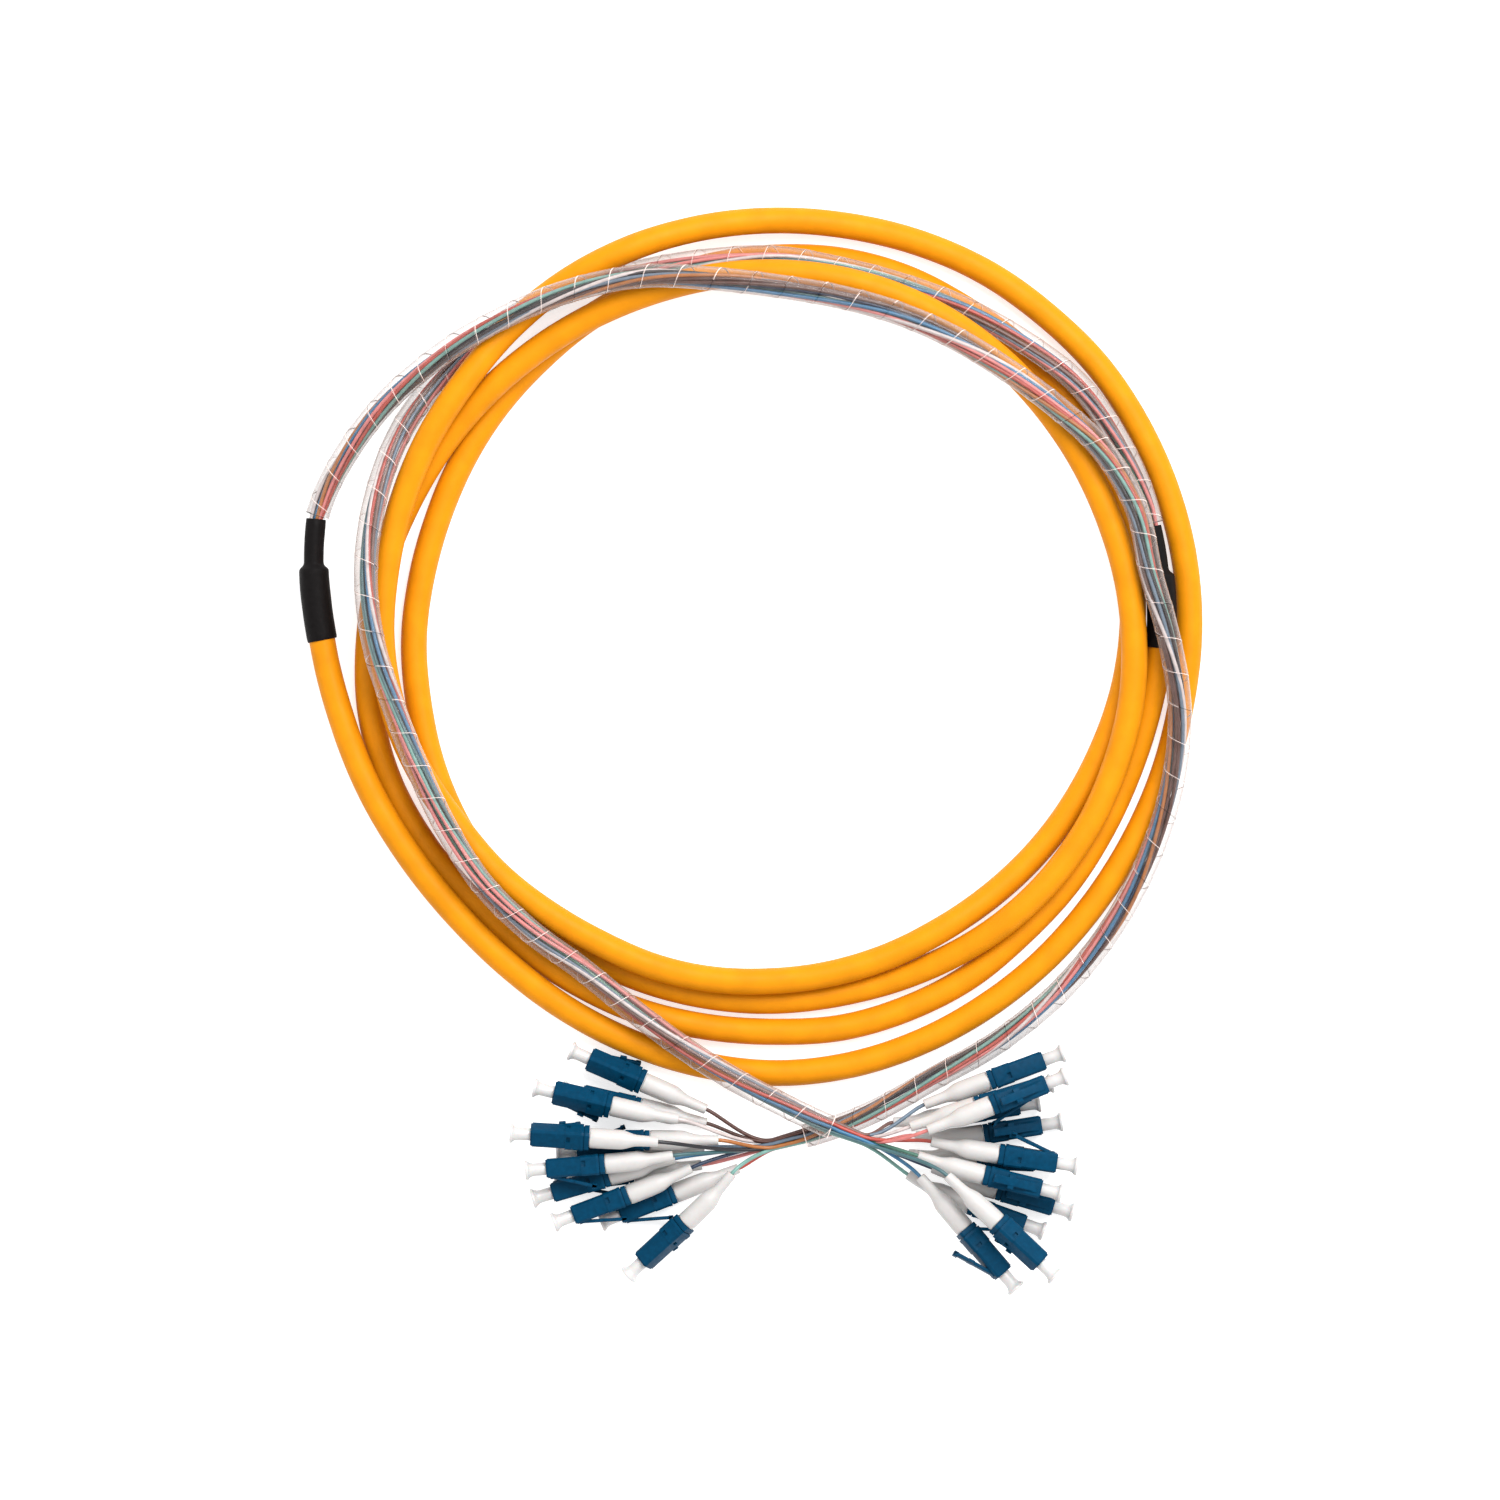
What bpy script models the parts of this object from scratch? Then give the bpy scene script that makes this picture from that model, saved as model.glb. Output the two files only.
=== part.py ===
"""Fibre optic trunk cable: a coil of twelve-fibre cable with a fan-out of LC plugs at each end."""

import math

import bmesh
import bpy
from mathutils import Matrix, Vector

MM = 0.001

# Cable, furcation sleeves and tails
JACKET_DIAMETER = 6.2 * MM
WRAP_DIAMETER = 5.8 * MM
WRAP_WALL = 0.85 * MM
BUNDLE_DIAMETER = 3.5 * MM
BUNDLE_SKIN = 0.05 * MM
FIBRE_DIAMETER = 0.9 * MM
SLEEVE_DIAMETER = 7.1 * MM
SLEEVE_NECK_DIAMETER = 4.7 * MM
SLEEVE_WIDE_LENGTH = 17.0 * MM
SLEEVE_SHOULDER = 1.2 * MM
SLEEVE_RIM = 0.6 * MM
SLEEVE_GAP = 0.5 * MM
SLEEVE_WALL = 0.6 * MM
SLEEVE_NECK_WALL = 0.3 * MM
SOCKET_DEPTH = 8.0 * MM
BUNDLE_SOCKET_DEPTH = 7.0 * MM
BARE_FIBRE = 1.5 * MM
FAN_OVERLAP = 2.0 * MM
FAN_STAGGER = 0.15 * MM
FAN_SPREAD = 0.7
FAN_CORE_LENGTH = 3.5 * MM
FAN_CORE_SHARE = 0.6
CLEARANCE = 0.3 * MM
CORE_SHOULDER = 0.05 * MM
CUTTER_OVERRUN = 2.0 * MM

# LC plug, measured along its own +X from the front face of the housing
PLUG_WIDTH = 4.6 * MM
PLUG_LENGTH = 13.8 * MM
PLUG_CHAMFER = 0.5 * MM
COLLAR_WIDTH = 5.0 * MM
COLLAR_LENGTH = 5.6 * MM
STEM_DIAMETER = 3.0 * MM
BOOT_DIAMETER = 4.8 * MM
BOOT_NECK_DIAMETER = 2.5 * MM
BOOT_LENGTH = 15.7 * MM
BOOT_FULL_LENGTH = 7.4 * MM
BOOT_NECK_LENGTH = 4.6 * MM
BOOT_NECK_DRAFT = 0.05 * MM
CAP_LENGTH = 4.9 * MM
CAP_FLANGE_DIAMETER = 4.6 * MM
CAP_FLANGE_THICKNESS = 0.5 * MM
CAP_FLARE_LENGTH = 0.9 * MM
LATCH_SETBACK = 1.6 * MM
LATCH_SEAT = 0.1 * MM
LATCH_LENGTH = 10.6 * MM
LATCH_WIDTH = 2.0 * MM
LATCH_THICKNESS = 0.8 * MM
LATCH_ANGLE = math.radians(17)
LATCH_CATCH_WIDTH = 3.4 * MM
LATCH_CATCH_LENGTH = 1.4 * MM
LATCH_CATCH_AT = 5.2 * MM
PLUG_REST = 0.05 * MM

# Tessellation
TUBE_BEVEL_RESOLUTION = 2
TUBE_SIDES = 4 + 2 * TUBE_BEVEL_RESOLUTION
FLAT_DOWN = math.pi / TUBE_SIDES
JACKET_STEP = 2.3 * JACKET_DIAMETER
WRAP_STEP = 2.5 * WRAP_DIAMETER
FAN_POINTS = 7
TURNED_SIDES = 10

COIL_CENTRE = Vector((5.6 * MM, 25.5 * MM, 0.0))

# Centrelines as (angle in degrees about the coil's centre, radius in mm, lift in mm).
# The lift is the height above a jacket that lies on the floor.
TRUNK_ROUTE = [
    (180.2, 106.1, 0.5), (190, 103.3, 2.1), (200, 101.3, 4.5), (210, 99.6, 4.9), (220, 98.6, 4.8),
    (230, 98.6, 4.0), (240, 99.4, 1.7), (250, 100.3, 0), (260, 101.2, 0), (270, 101.8, 0),
    (280, 101.5, 0), (290, 100.6, 0), (300, 99.5, 0), (310, 98.5, 0), (320, 97.5, 0),
    (330, 96.9, 0), (340, 96.8, 0), (350, 96.9, 0), (360, 97.6, 0), (370, 98.3, 0),
    (380, 98.8, 0), (390, 99.3, 0), (400, 99.8, 0), (410, 99.7, 0), (420, 99.8, 0),
    (430, 99.4, 0), (440, 98.9, 0.6), (450, 98.6, 2.4), (460, 98.3, 5.3), (470, 97.9, 8.5),
    (480, 97.2, 8.0), (490, 96.0, 7.6), (500, 94.6, 9.2), (510, 93.9, 8.9), (520, 93.1, 7.2),
    (530, 92.5, 6.8), (540, 92.1, 6.7), (550, 90.9, 6.7), (560, 88.8, 6.7), (570, 86.4, 6.7),
    (580, 85.0, 6.7), (590, 83.3, 6.7), (600, 82.1, 6.4), (610, 81.7, 5.9), (620, 81.0, 5.6),
    (630, 80.1, 5.2), (640, 79.5, 4.6), (650, 79.0, 3.9), (660, 78.6, 3.6), (670, 78.8, 1.9),
    (680, 79.4, 0.4), (690, 80.2, 0), (700, 81.2, 0), (710, 82.7, 0), (720, 84.1, 0),
    (730, 85.5, 0), (740, 87.1, 0), (750, 88.1, 0), (760, 89.2, 0), (770, 89.7, 0),
    (780, 89.9, 0), (790, 90.6, 0), (800, 90.6, 0), (810, 89.9, 0), (820, 89.1, 0),
    (830, 88.1, 0), (840, 87.2, 0), (850, 86.0, 0), (860, 85.2, 0), (870, 84.5, 0),
    (880, 84.0, 0), (890, 84.1, 0), (900, 84.6, 0), (910, 84.8, 0), (920, 85.5, 0),
    (930, 86.1, 0), (940, 86.3, 0), (950, 86.3, 0), (960, 85.9, 0), (970, 85.5, 0),
    (980, 85.1, 0), (990, 84.8, 0), (1000, 84.5, 0), (1010, 84.7, 0.3), (1020, 85.2, 2.8),
    (1030, 85.7, 5.6), (1040, 85.9, 5.9), (1050, 85.8, 6.0), (1060, 85.4, 6.1), (1070, 85.2, 6.6),
    (1080, 84.6, 6.8), (1090, 84.1, 6.6), (1100, 83.7, 6.1), (1110, 83.7, 5.9), (1120, 84.0, 6.7),
    (1130, 84.6, 8.5), (1140, 85.2, 11.1), (1150, 85.7, 12.3), (1160, 86.0, 12.4), (1170, 86.2, 12.1),
    (1180, 86.4, 11.5), (1190, 86.6, 9.5), (1200, 87.2, 7.3), (1210, 88.0, 6.4), (1220, 89.1, 5.4),
    (1230, 90.4, 2.9), (1240, 91.9, 0.5), (1250, 93.8, 0), (1260, 95.2, 0), (1270, 96.3, 0),
    (1280, 96.3, 0), (1290, 95.2, 0), (1300, 93.9, 0), (1310, 93.1, 0), (1320, 92.9, 0),
    (1330, 92.8, 0), (1340, 92.3, 0), (1350, 92.1, 0), (1360, 92.5, 0), (1370, 92.1, 0),
    (1380, 91.5, 0), (1390, 90.2, 0), (1400, 89.7, 0), (1410, 89.1, 0), (1420, 89.0, 0.2),
    (1430, 89.6, 1.5), (1438.7, 90.9, 3.2),
]
SLEEVE_A_ROUTE = [(180.2, 106.1, 0.5), (175.5, 107.8, 0.5), (171, 109.5, 0.45), (165.2, 111.3, 0.1)]
SLEEVE_B_ROUTE = [(-1.3, 90.9, 3.2), (4.6, 91.4, 3.7), (10.4, 91.9, 3.9), (16.7, 92.6, 4.1)]
TAIL_A_ROUTE = [
    (165.2, 111.3, 0.1), (160, 110.6, 0.6), (150, 107.5, 4.4), (140, 103.2, 9.4), (130, 98.7, 13.8),
    (120, 94.7, 14.8), (110, 90.7, 15.7), (100, 86.0, 17.7), (90, 83.0, 17.8), (80, 81.9, 17.5),
    (70, 81.9, 17.3), (60, 82.4, 16.6), (50, 83.5, 14.8), (40, 85.8, 12.9), (30, 89.1, 11.3),
    (20, 90.5, 10.9), (10, 89.9, 10.9), (0, 92.8, 10.3), (-10, 96.8, 7.9), (-20, 99.6, 6.0),
    (-30, 101.9, 4.1), (-40, 104.2, 1.3), (-50, 106.3, -0.1), (-60, 108.0, -0.1), (-70, 109.7, -0.1),
    (-80, 114.2, -0.1), (-86.4, 116.8, -0.1),
]
TAIL_B_ROUTE = [
    (16.7, 92.6, 4.1), (20, 93.1, 4.2), (30, 93.5, 4.6), (40, 93.4, 5.3), (50, 91.4, 6.2),
    (60, 89.8, 6.4), (70, 88.6, 6.4), (80, 88.6, 6.4), (90, 89.8, 6.4), (100, 90.5, 6.4),
    (110, 92.1, 4.9), (120, 95.2, 1.2), (130, 97.8, -0.1), (140, 99.4, 1.0), (150, 100.4, 5.4),
    (160, 99.3, 9.6), (170, 97.2, 11.5), (180, 94.1, 12.7), (190, 90.6, 13.0), (200, 88.8, 13.0),
    (210, 88.6, 12.7), (220, 89.2, 11.6), (230, 89.1, 9.4), (240, 89.5, 7.2), (250, 93.5, 6.6),
    (260, 99.9, 6.4), (270, 108.1, 6.2), (276.7, 115.1, 6.1),
]

# Plugs as (x mm, y mm, lift mm, heading, pitch, roll in degrees) of the housing's front centre,
# from the coil's centre. A heading of 0 points the cap along +X, and a roll of 0 puts the latch on top.
PLUGS_A = [
    (-43.4, -98.4, 2.6, 156.6, 0, 140),
    (-51.7, -106.2, 8.5, 166.7, 0, -135),
    (-45.0, -106.7, 0, 166.7, 0, 0),
    (-57.1, -116.0, 13.8, 176.6, 0, 150),
    (-43.0, -117.5, 5.4, 180, 0, 0),
    (-53.5, -124.1, 10.8, 184.7, 0, -90),
    (-46.3, -120.0, 0, 181.8, 0, 90),
    (-52.1, -129.9, 5.4, 196.2, 0, 90),
    (-46.7, -127.0, 0, 187, 0, -90),
    (-47.2, -135.2, 5.4, 200.6, 0, -90),
    (-36.2, -135.1, 0, 201.3, 0, -90),
    (-30.8, -146.1, 0.9, 222.6, -10, -155),
]
PLUGS_B = [
    (63.5, -98.7, 3.9, 20.4, 0, 180),
    (64.0, -104.1, 13.8, 21.4, 0, 0),
    (60.7, -105.5, 8.4, 17, 0, 90),
    (57.8, -109.4, 0, 9, 0, 0),
    (63, -114, 0, 9, 0, 0),
    (66.5, -122.8, 8.4, -8.7, 0, -85),
    (61.5, -122.7, 0, -2.5, 0, 0),
    (62.8, -128.9, 8.4, -13.7, 0, 0),
    (65.8, -133.2, 0, -16.5, 0, 0),
    (59, -137.4, 0, -19.8, 0, 90),
    (62.6, -146.2, 11.7, -43, 0, 150),
    (53.9, -148.8, 5.4, -49.3, 0, 75),
]


def material(name, colour, roughness, transmission=0.0):
    """A plain Principled material, made once for each name."""
    found = bpy.data.materials.get(name)
    if found:
        return found
    made = bpy.data.materials.new(name)
    made.use_nodes = True
    shader = made.node_tree.nodes["Principled BSDF"]
    shader.inputs["Base Color"].default_value = (*colour, 1.0)
    shader.inputs["Roughness"].default_value = roughness
    shader.inputs["Metallic"].default_value = 0.0
    shader.inputs["Transmission Weight"].default_value = transmission
    return made


def collection(name):
    """A new collection linked to the scene."""
    made = bpy.data.collections.new(name)
    bpy.context.scene.collection.children.link(made)
    return made


def clear_scene():
    """Remove the objects that the scene starts with."""
    for item in list(bpy.data.objects):
        bpy.data.objects.remove(item, do_unlink=True)


# Smooth routes


def smooth_rows(rows, per_span=8):
    """Rows along a smooth curve through the given (angle, radius, lift) rows."""
    points = [Vector(row) for row in rows]
    points = [2 * points[0] - points[1]] + points + [2 * points[-1] - points[-2]]
    made = []
    for before, start, end, after in zip(points, points[1:], points[2:], points[3:]):
        span = end.x - start.x
        leave = (end - before) * (span / (end.x - before.x))
        arrive = (after - start) * (span / (after.x - start.x))
        for k in range(per_span):
            t = k / per_span
            made.append(
                (2 * t**3 - 3 * t**2 + 1) * start + (t**3 - 2 * t**2 + t) * leave
                + (3 * t**2 - 2 * t**3) * end + (t**3 - t**2) * arrive
            )
    return made + [points[-2]]


def route_path(rows):
    """World points of a route, at the height where a jacket's flat lies on the floor."""
    floor = JACKET_DIAMETER / 2 * math.cos(FLAT_DOWN)
    path = []
    lowest = min(row[2] for row in rows)
    for angle, radius, lift in smooth_rows(rows):
        turn = math.radians(angle)
        reach = Vector((math.cos(turn), math.sin(turn), 0.0)) * radius * MM
        path.append(COIL_CENTRE + reach + Vector((0, 0, floor + max(lift, lowest) * MM)))
    return path


def path_length(path):
    """Length of a path of points."""
    return sum((b - a).length for a, b in zip(path, path[1:]))


def point_at(path, distance):
    """The point at a distance along a path, which runs on straight past its ends."""
    for a, b in zip(path, path[1:]):
        step = (b - a).length
        if distance <= step or b is path[-1]:
            return a + (b - a) * (distance / step)
        distance -= step
    return path[-1]


def spaced(path, start, end, step):
    """Points at about the given step along a stretch of a path."""
    count = max(2, round((end - start) / step) + 1)
    return [point_at(path, start + (end - start) * i / (count - 1)) for i in range(count)]


# Tubes and unions


def tube(name, points, radius, shares=None, capped=True):
    """A curve object swept round a path, with a flat side down. Shares scale its radius."""
    data = bpy.data.curves.new(name, "CURVE")
    data.dimensions = "3D"
    data.twist_mode = "Z_UP"
    data.bevel_depth = radius
    data.bevel_resolution = TUBE_BEVEL_RESOLUTION
    data.resolution_u = 1
    data.render_resolution_u = 0
    data.use_fill_caps = capped
    spline = data.splines.new("POLY")
    spline.points.add(len(points) - 1)
    for i, point in enumerate(points):
        spline.points[i].co = (*point, 1.0)
        spline.points[i].tilt = FLAT_DOWN
        spline.points[i].radius = shares[i] if shares else 1.0
    return bpy.data.objects.new(name, data)


def as_mesh(curve, parts):
    """Replace a curve object by a closed mesh object in the given collection."""
    scene = bpy.context.scene.collection
    scene.objects.link(curve)
    bpy.context.view_layer.update()
    mesh = bpy.data.meshes.new_from_object(curve.evaluated_get(bpy.context.evaluated_depsgraph_get()))
    form = bmesh.new()
    form.from_mesh(mesh)
    bmesh.ops.remove_doubles(form, verts=form.verts, dist=0.002 * MM)
    form.to_mesh(mesh)
    form.free()
    name = curve.name
    matrix = curve.matrix_world.copy()
    bpy.data.objects.remove(curve, do_unlink=True)
    made = bpy.data.objects.new(name, mesh)
    made.matrix_world = matrix
    parts.objects.link(made)
    return made


def combine(target, tool, operation, cutters, solver="EXACT"):
    """Add a Boolean modifier, and keep its tool with the cutters."""
    for owner in list(tool.users_collection):
        owner.objects.unlink(tool)
    cutters.objects.link(tool)
    tool.hide_render = True
    tool.display_type = "WIRE"
    boolean = target.modifiers.new(tool.name, "BOOLEAN")
    boolean.operation = operation
    boolean.solver = solver
    boolean.object = tool


def smooth_shade(mesh, angle=35):
    """Shade round faces smooth and keep the edges sharp."""
    mesh.shade_smooth()
    mesh.set_sharp_from_angle(angle=math.radians(angle))


# Cable and its sleeves


def jacket_socket_radius():
    """Inner radius of a sleeve's wide end."""
    return SLEEVE_DIAMETER / 2 - SLEEVE_WALL


def build_trunk(parts):
    """The jacketed cable, with its stripped core reaching into a sleeve at each end."""
    path = route_path(TRUNK_ROUTE)
    core_share = (jacket_socket_radius() - CLEARANCE) / (JACKET_DIAMETER / 2)
    reach = SOCKET_DEPTH - CLEARANCE
    points = spaced(path, 0, path_length(path), JACKET_STEP)
    shares = [1.0] * len(points)
    for rows, at_start in ((SLEEVE_A_ROUTE, True), (SLEEVE_B_ROUTE, False)):
        inner = route_path(rows)
        core = [point_at(inner, CORE_SHOULDER), point_at(inner, reach / 2), point_at(inner, reach)]
        if at_start:
            points = core[::-1] + points
            shares = [core_share] * 3 + shares
        else:
            points = points + core
            shares = shares + [core_share] * 3
    jacket = tube("trunk_jacket", points, JACKET_DIAMETER / 2, shares)
    jacket.data.materials.append(material("orange_jacket", (0.93, 0.38, 0.02), 0.42))
    parts.objects.link(jacket)


def build_sleeve(name, rows, parts, cutters):
    """A stepped heat-shrink sleeve with a socket for the cable core and one for the fibres."""
    path = route_path(rows)
    length = path_length(path)
    neck = SLEEVE_NECK_DIAMETER / SLEEVE_DIAMETER
    start = SLEEVE_GAP
    profile = [
        (start, 0.93),
        (start + SLEEVE_RIM, 1.0),
        (SLEEVE_WIDE_LENGTH / 2, 1.0),
        (SLEEVE_WIDE_LENGTH, 1.0),
        (SLEEVE_WIDE_LENGTH + SLEEVE_SHOULDER, neck),
        ((SLEEVE_WIDE_LENGTH + SLEEVE_SHOULDER + length) / 2, neck),
        (length, neck),
    ]
    points = [point_at(path, distance) for distance, _ in profile]
    outer = tube(name, points, SLEEVE_DIAMETER / 2, [share for _, share in profile])
    sleeve = as_mesh(outer, parts)
    sleeve.data.materials.append(material("black_sleeve", (0.02, 0.018, 0.02), 0.5))
    reach = (-CUTTER_OVERRUN, SOCKET_DEPTH / 2, SOCKET_DEPTH)
    wide = tube(f"{name}_core_socket", [point_at(path, d) for d in reach], jacket_socket_radius())
    combine(sleeve, as_mesh(wide, cutters), "DIFFERENCE", cutters)
    reach = (-BUNDLE_SOCKET_DEPTH, -BUNDLE_SOCKET_DEPTH / 2, 0, CUTTER_OVERRUN)
    bore = SLEEVE_NECK_DIAMETER / 2 - SLEEVE_NECK_WALL
    slim = tube(f"{name}_fibre_socket", [point_at(path, length + d) for d in reach], bore)
    combine(sleeve, as_mesh(slim, cutters), "DIFFERENCE", cutters)


def tail_points(rows):
    """Points of a tail's centreline from the start of its wrap to its end."""
    path = route_path(rows)
    return spaced(path, BARE_FIBRE, path_length(path), WRAP_STEP)


def build_wrap(name, rows, parts):
    """The clear wrap of a tail, as an open-ended tube."""
    points = tail_points(rows)
    wrap = as_mesh(tube(name, points, WRAP_DIAMETER / 2, capped=False), parts)
    wall = wrap.modifiers.new("wall", "SOLIDIFY")
    wall.thickness = WRAP_WALL
    wall.offset = -1.0
    wall.use_rim = True
    wall.use_even_offset = True
    wrap.data.materials.append(material("clear_wrap", (0.85, 0.8, 0.8), 0.15, 0.9))


# Fibres and their fan-out


def plug_matrix(place):
    """World matrix of a plug from its place."""
    x, y, lift, heading, pitch, roll = place
    turn = Matrix.Rotation(math.radians(heading), 4, "Z")
    tip = Matrix.Rotation(math.radians(-pitch), 4, "Y")
    spin = Matrix.Rotation(math.radians(roll), 4, "X")
    height = COLLAR_WIDTH / 2 + PLUG_REST + lift * MM
    front = COIL_CENTRE + Vector((x * MM, y * MM, height))
    return Matrix.Translation(front) @ turn @ tip @ spin


def packed_offsets():
    """Places of the twelve fibres in the bundle's section, nine round three."""
    ring = BUNDLE_DIAMETER / 2 * math.cos(FLAT_DOWN) - FIBRE_DIAMETER / 2 - BUNDLE_SKIN
    places = []
    for count, radius in ((9, ring), (3, ring - 0.8 * FIBRE_DIAMETER)):
        for i in range(count):
            angle = 2 * math.pi * (i + 0.5) / count
            places.append((math.cos(angle) * radius, math.sin(angle) * radius))
    return places


def fan_points(start, leave, end, arrive, count):
    """Points on a smooth curve that leaves and arrives along the given directions."""
    reach = FAN_SPREAD * (end - start).length
    points = []
    for i in range(count):
        t = i / (count - 1)
        points.append(
            (2 * t**3 - 3 * t**2 + 1) * start + (t**3 - 2 * t**2 + t) * leave * reach
            + (3 * t**2 - 2 * t**3) * end + (t**3 - t**2) * arrive * reach
        )
    return points


def build_bundle(name, sleeve_rows, rows, plugs, parts, cutters):
    """The twelve fibres of a tail: one bundle in the wrap, then a leg to each plug."""
    inner = route_path(sleeve_rows)
    length = path_length(inner)
    reach = (CLEARANCE - BUNDLE_SOCKET_DEPTH, -BUNDLE_SOCKET_DEPTH / 2, 0)
    entry = [point_at(inner, length + distance) for distance in reach]
    points = entry + tail_points(rows)
    end = points[-1]
    along = (points[-1] - points[-2]).normalized()
    shares = [1.0] * len(points) + [FAN_CORE_SHARE]
    bundle = as_mesh(tube(name, points + [end + along * FAN_CORE_LENGTH], BUNDLE_DIAMETER / 2, shares), parts)
    bundle.data.materials.append(material("fibre_buffer", (0.55, 0.5, 0.5), 0.4))
    across = along.cross(Vector((0, 0, 1))).normalized()
    up = across.cross(along)
    legs = []
    for place in plugs:
        boot = plug_matrix(place) @ Vector((-PLUG_LENGTH - BOOT_LENGTH - 2 * CLEARANCE, 0, 0))
        legs.append((boot, plug_matrix(place).to_3x3() @ Vector((1, 0, 0))))
    legs.sort(key=lambda leg: (leg[0] - end).dot(across) / (leg[0] - end).length)
    slots = sorted(packed_offsets())
    for number, ((boot, into), (side, rise)) in enumerate(zip(legs, slots)):
        start = end + across * side + up * rise
        root = start - along * (FAN_OVERLAP + number * FAN_STAGGER)
        curve = fan_points(start, along, boot, into, FAN_POINTS)
        leg = tube(f"{name}_leg_{number + 1:02d}", [root] + curve, FIBRE_DIAMETER / 2)
        combine(bundle, as_mesh(leg, cutters), "UNION", cutters, solver="MANIFOLD")


# Plugs


def box(form, low, high):
    """Add a box to a bmesh between two corners."""
    made = bmesh.ops.create_cube(form, size=1.0)
    size = Vector(high) - Vector(low)
    bmesh.ops.scale(form, vec=size, verts=made["verts"])
    bmesh.ops.translate(form, vec=(Vector(high) + Vector(low)) / 2, verts=made["verts"])
    return made["verts"]


def mesh_object(name, form, owner):
    """Turn a bmesh into an object in a collection."""
    mesh = bpy.data.meshes.new(name)
    form.to_mesh(mesh)
    form.free()
    made = bpy.data.objects.new(name, mesh)
    owner.objects.link(made)
    return made


def chamfer_long_edges(form, verts, width):
    """Bevel the edges of a box that run along X."""
    edges = {edge for vert in verts for edge in vert.link_edges}
    long_edges = [e for e in edges if abs(e.verts[0].co.x - e.verts[1].co.x) > width]
    bmesh.ops.bevel(form, geom=long_edges, offset=width, segments=1, affect="EDGES", clamp_overlap=True)


def housing_mesh(cutters):
    """The plug housing: a chamfered body with a wider collar, a bore and a sprung latch."""
    half = PLUG_WIDTH / 2
    form = bmesh.new()
    body = box(form, (-PLUG_LENGTH + COLLAR_LENGTH / 2, -half, -half), (0, half, half))
    chamfer_long_edges(form, body, PLUG_CHAMFER)
    housing = mesh_object("housing_pattern", form, cutters)

    wide = COLLAR_WIDTH / 2
    form = bmesh.new()
    collar = box(form, (-PLUG_LENGTH, -wide, -wide), (-PLUG_LENGTH + COLLAR_LENGTH, wide, wide))
    chamfer_long_edges(form, collar, PLUG_CHAMFER)
    combine(housing, mesh_object("housing_collar", form, cutters), "UNION", cutters)

    form = bmesh.new()
    depth = LATCH_THICKNESS
    box(form, (-LATCH_LENGTH, -LATCH_WIDTH / 2, -depth), (0, LATCH_WIDTH / 2, 0))
    latch = mesh_object("housing_latch", form, cutters)
    latch.matrix_world = latch_matrix()
    combine(housing, latch, "UNION", cutters)

    form = bmesh.new()
    back = -LATCH_CATCH_AT - LATCH_CATCH_LENGTH
    box(form, (back, -LATCH_CATCH_WIDTH / 2, -0.85 * depth), (-LATCH_CATCH_AT, LATCH_CATCH_WIDTH / 2, -0.1 * depth))
    catch = mesh_object("housing_catch", form, cutters)
    catch.matrix_world = latch_matrix()
    combine(housing, catch, "UNION", cutters)

    form = bmesh.new()
    bore = STEM_DIAMETER / 2 + CLEARANCE
    bmesh.ops.create_cone(form, cap_ends=True, segments=TURNED_SIDES, radius1=bore, radius2=bore,
                          depth=3 * PLUG_LENGTH)
    tool = mesh_object("housing_bore", form, cutters)
    tool.matrix_world = Matrix.Rotation(math.radians(90), 4, "Y")
    combine(housing, tool, "DIFFERENCE", cutters)

    bpy.context.view_layer.update()
    mesh = bpy.data.meshes.new_from_object(housing.evaluated_get(bpy.context.evaluated_depsgraph_get()))
    mesh.name = "lc_housing"
    mesh.materials.clear()
    mesh.materials.append(material("blue_housing", (0.005, 0.08, 0.22), 0.4))
    smooth_shade(mesh)
    bpy.data.objects.remove(housing, do_unlink=True)
    return mesh


def latch_matrix():
    """Place of the latch: its root on top of the body near the front, rising backwards."""
    root = Matrix.Translation((-LATCH_SETBACK, 0, PLUG_WIDTH / 2 + LATCH_SEAT))
    return root @ Matrix.Rotation(LATCH_ANGLE, 4, "Y")


def core_mesh():
    """Boot, stem and dust cap as one turned body that passes through the housing's bore."""
    boot = BOOT_DIAMETER / 2
    neck = BOOT_NECK_DIAMETER / 2
    stem = STEM_DIAMETER / 2
    flange = CAP_FLANGE_DIAMETER / 2
    front = -PLUG_LENGTH - CLEARANCE
    rear = front - BOOT_LENGTH
    outline = [
        (CAP_LENGTH, 0.0),
        (CAP_LENGTH, flange),
        (CAP_LENGTH - CAP_FLANGE_THICKNESS, flange),
        (CAP_LENGTH - CAP_FLANGE_THICKNESS - CAP_FLARE_LENGTH, stem),
        (front, stem),
        (front, boot),
        (front - BOOT_FULL_LENGTH, 0.92 * boot),
        (rear + BOOT_NECK_LENGTH, neck + BOOT_NECK_DRAFT),
        (rear, neck),
        (rear, 0.0),
    ]
    form = bmesh.new()
    verts = [form.verts.new((x, 0.0, r)) for x, r in outline]
    edges = [form.edges.new(pair) for pair in zip(verts, verts[1:])]
    bmesh.ops.spin(form, geom=verts + edges, cent=(0, 0, 0), axis=(1, 0, 0), dvec=(0, 0, 0),
                   angle=2 * math.pi, steps=TURNED_SIDES, use_merge=True, use_duplicate=False)
    bmesh.ops.remove_doubles(form, verts=form.verts, dist=0.002 * MM)
    bmesh.ops.recalc_face_normals(form, faces=form.faces)
    mesh = bpy.data.meshes.new("lc_core")
    form.to_mesh(mesh)
    form.free()
    mesh.materials.append(material("white_boot", (0.82, 0.8, 0.79), 0.45))
    smooth_shade(mesh)
    return mesh


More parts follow.
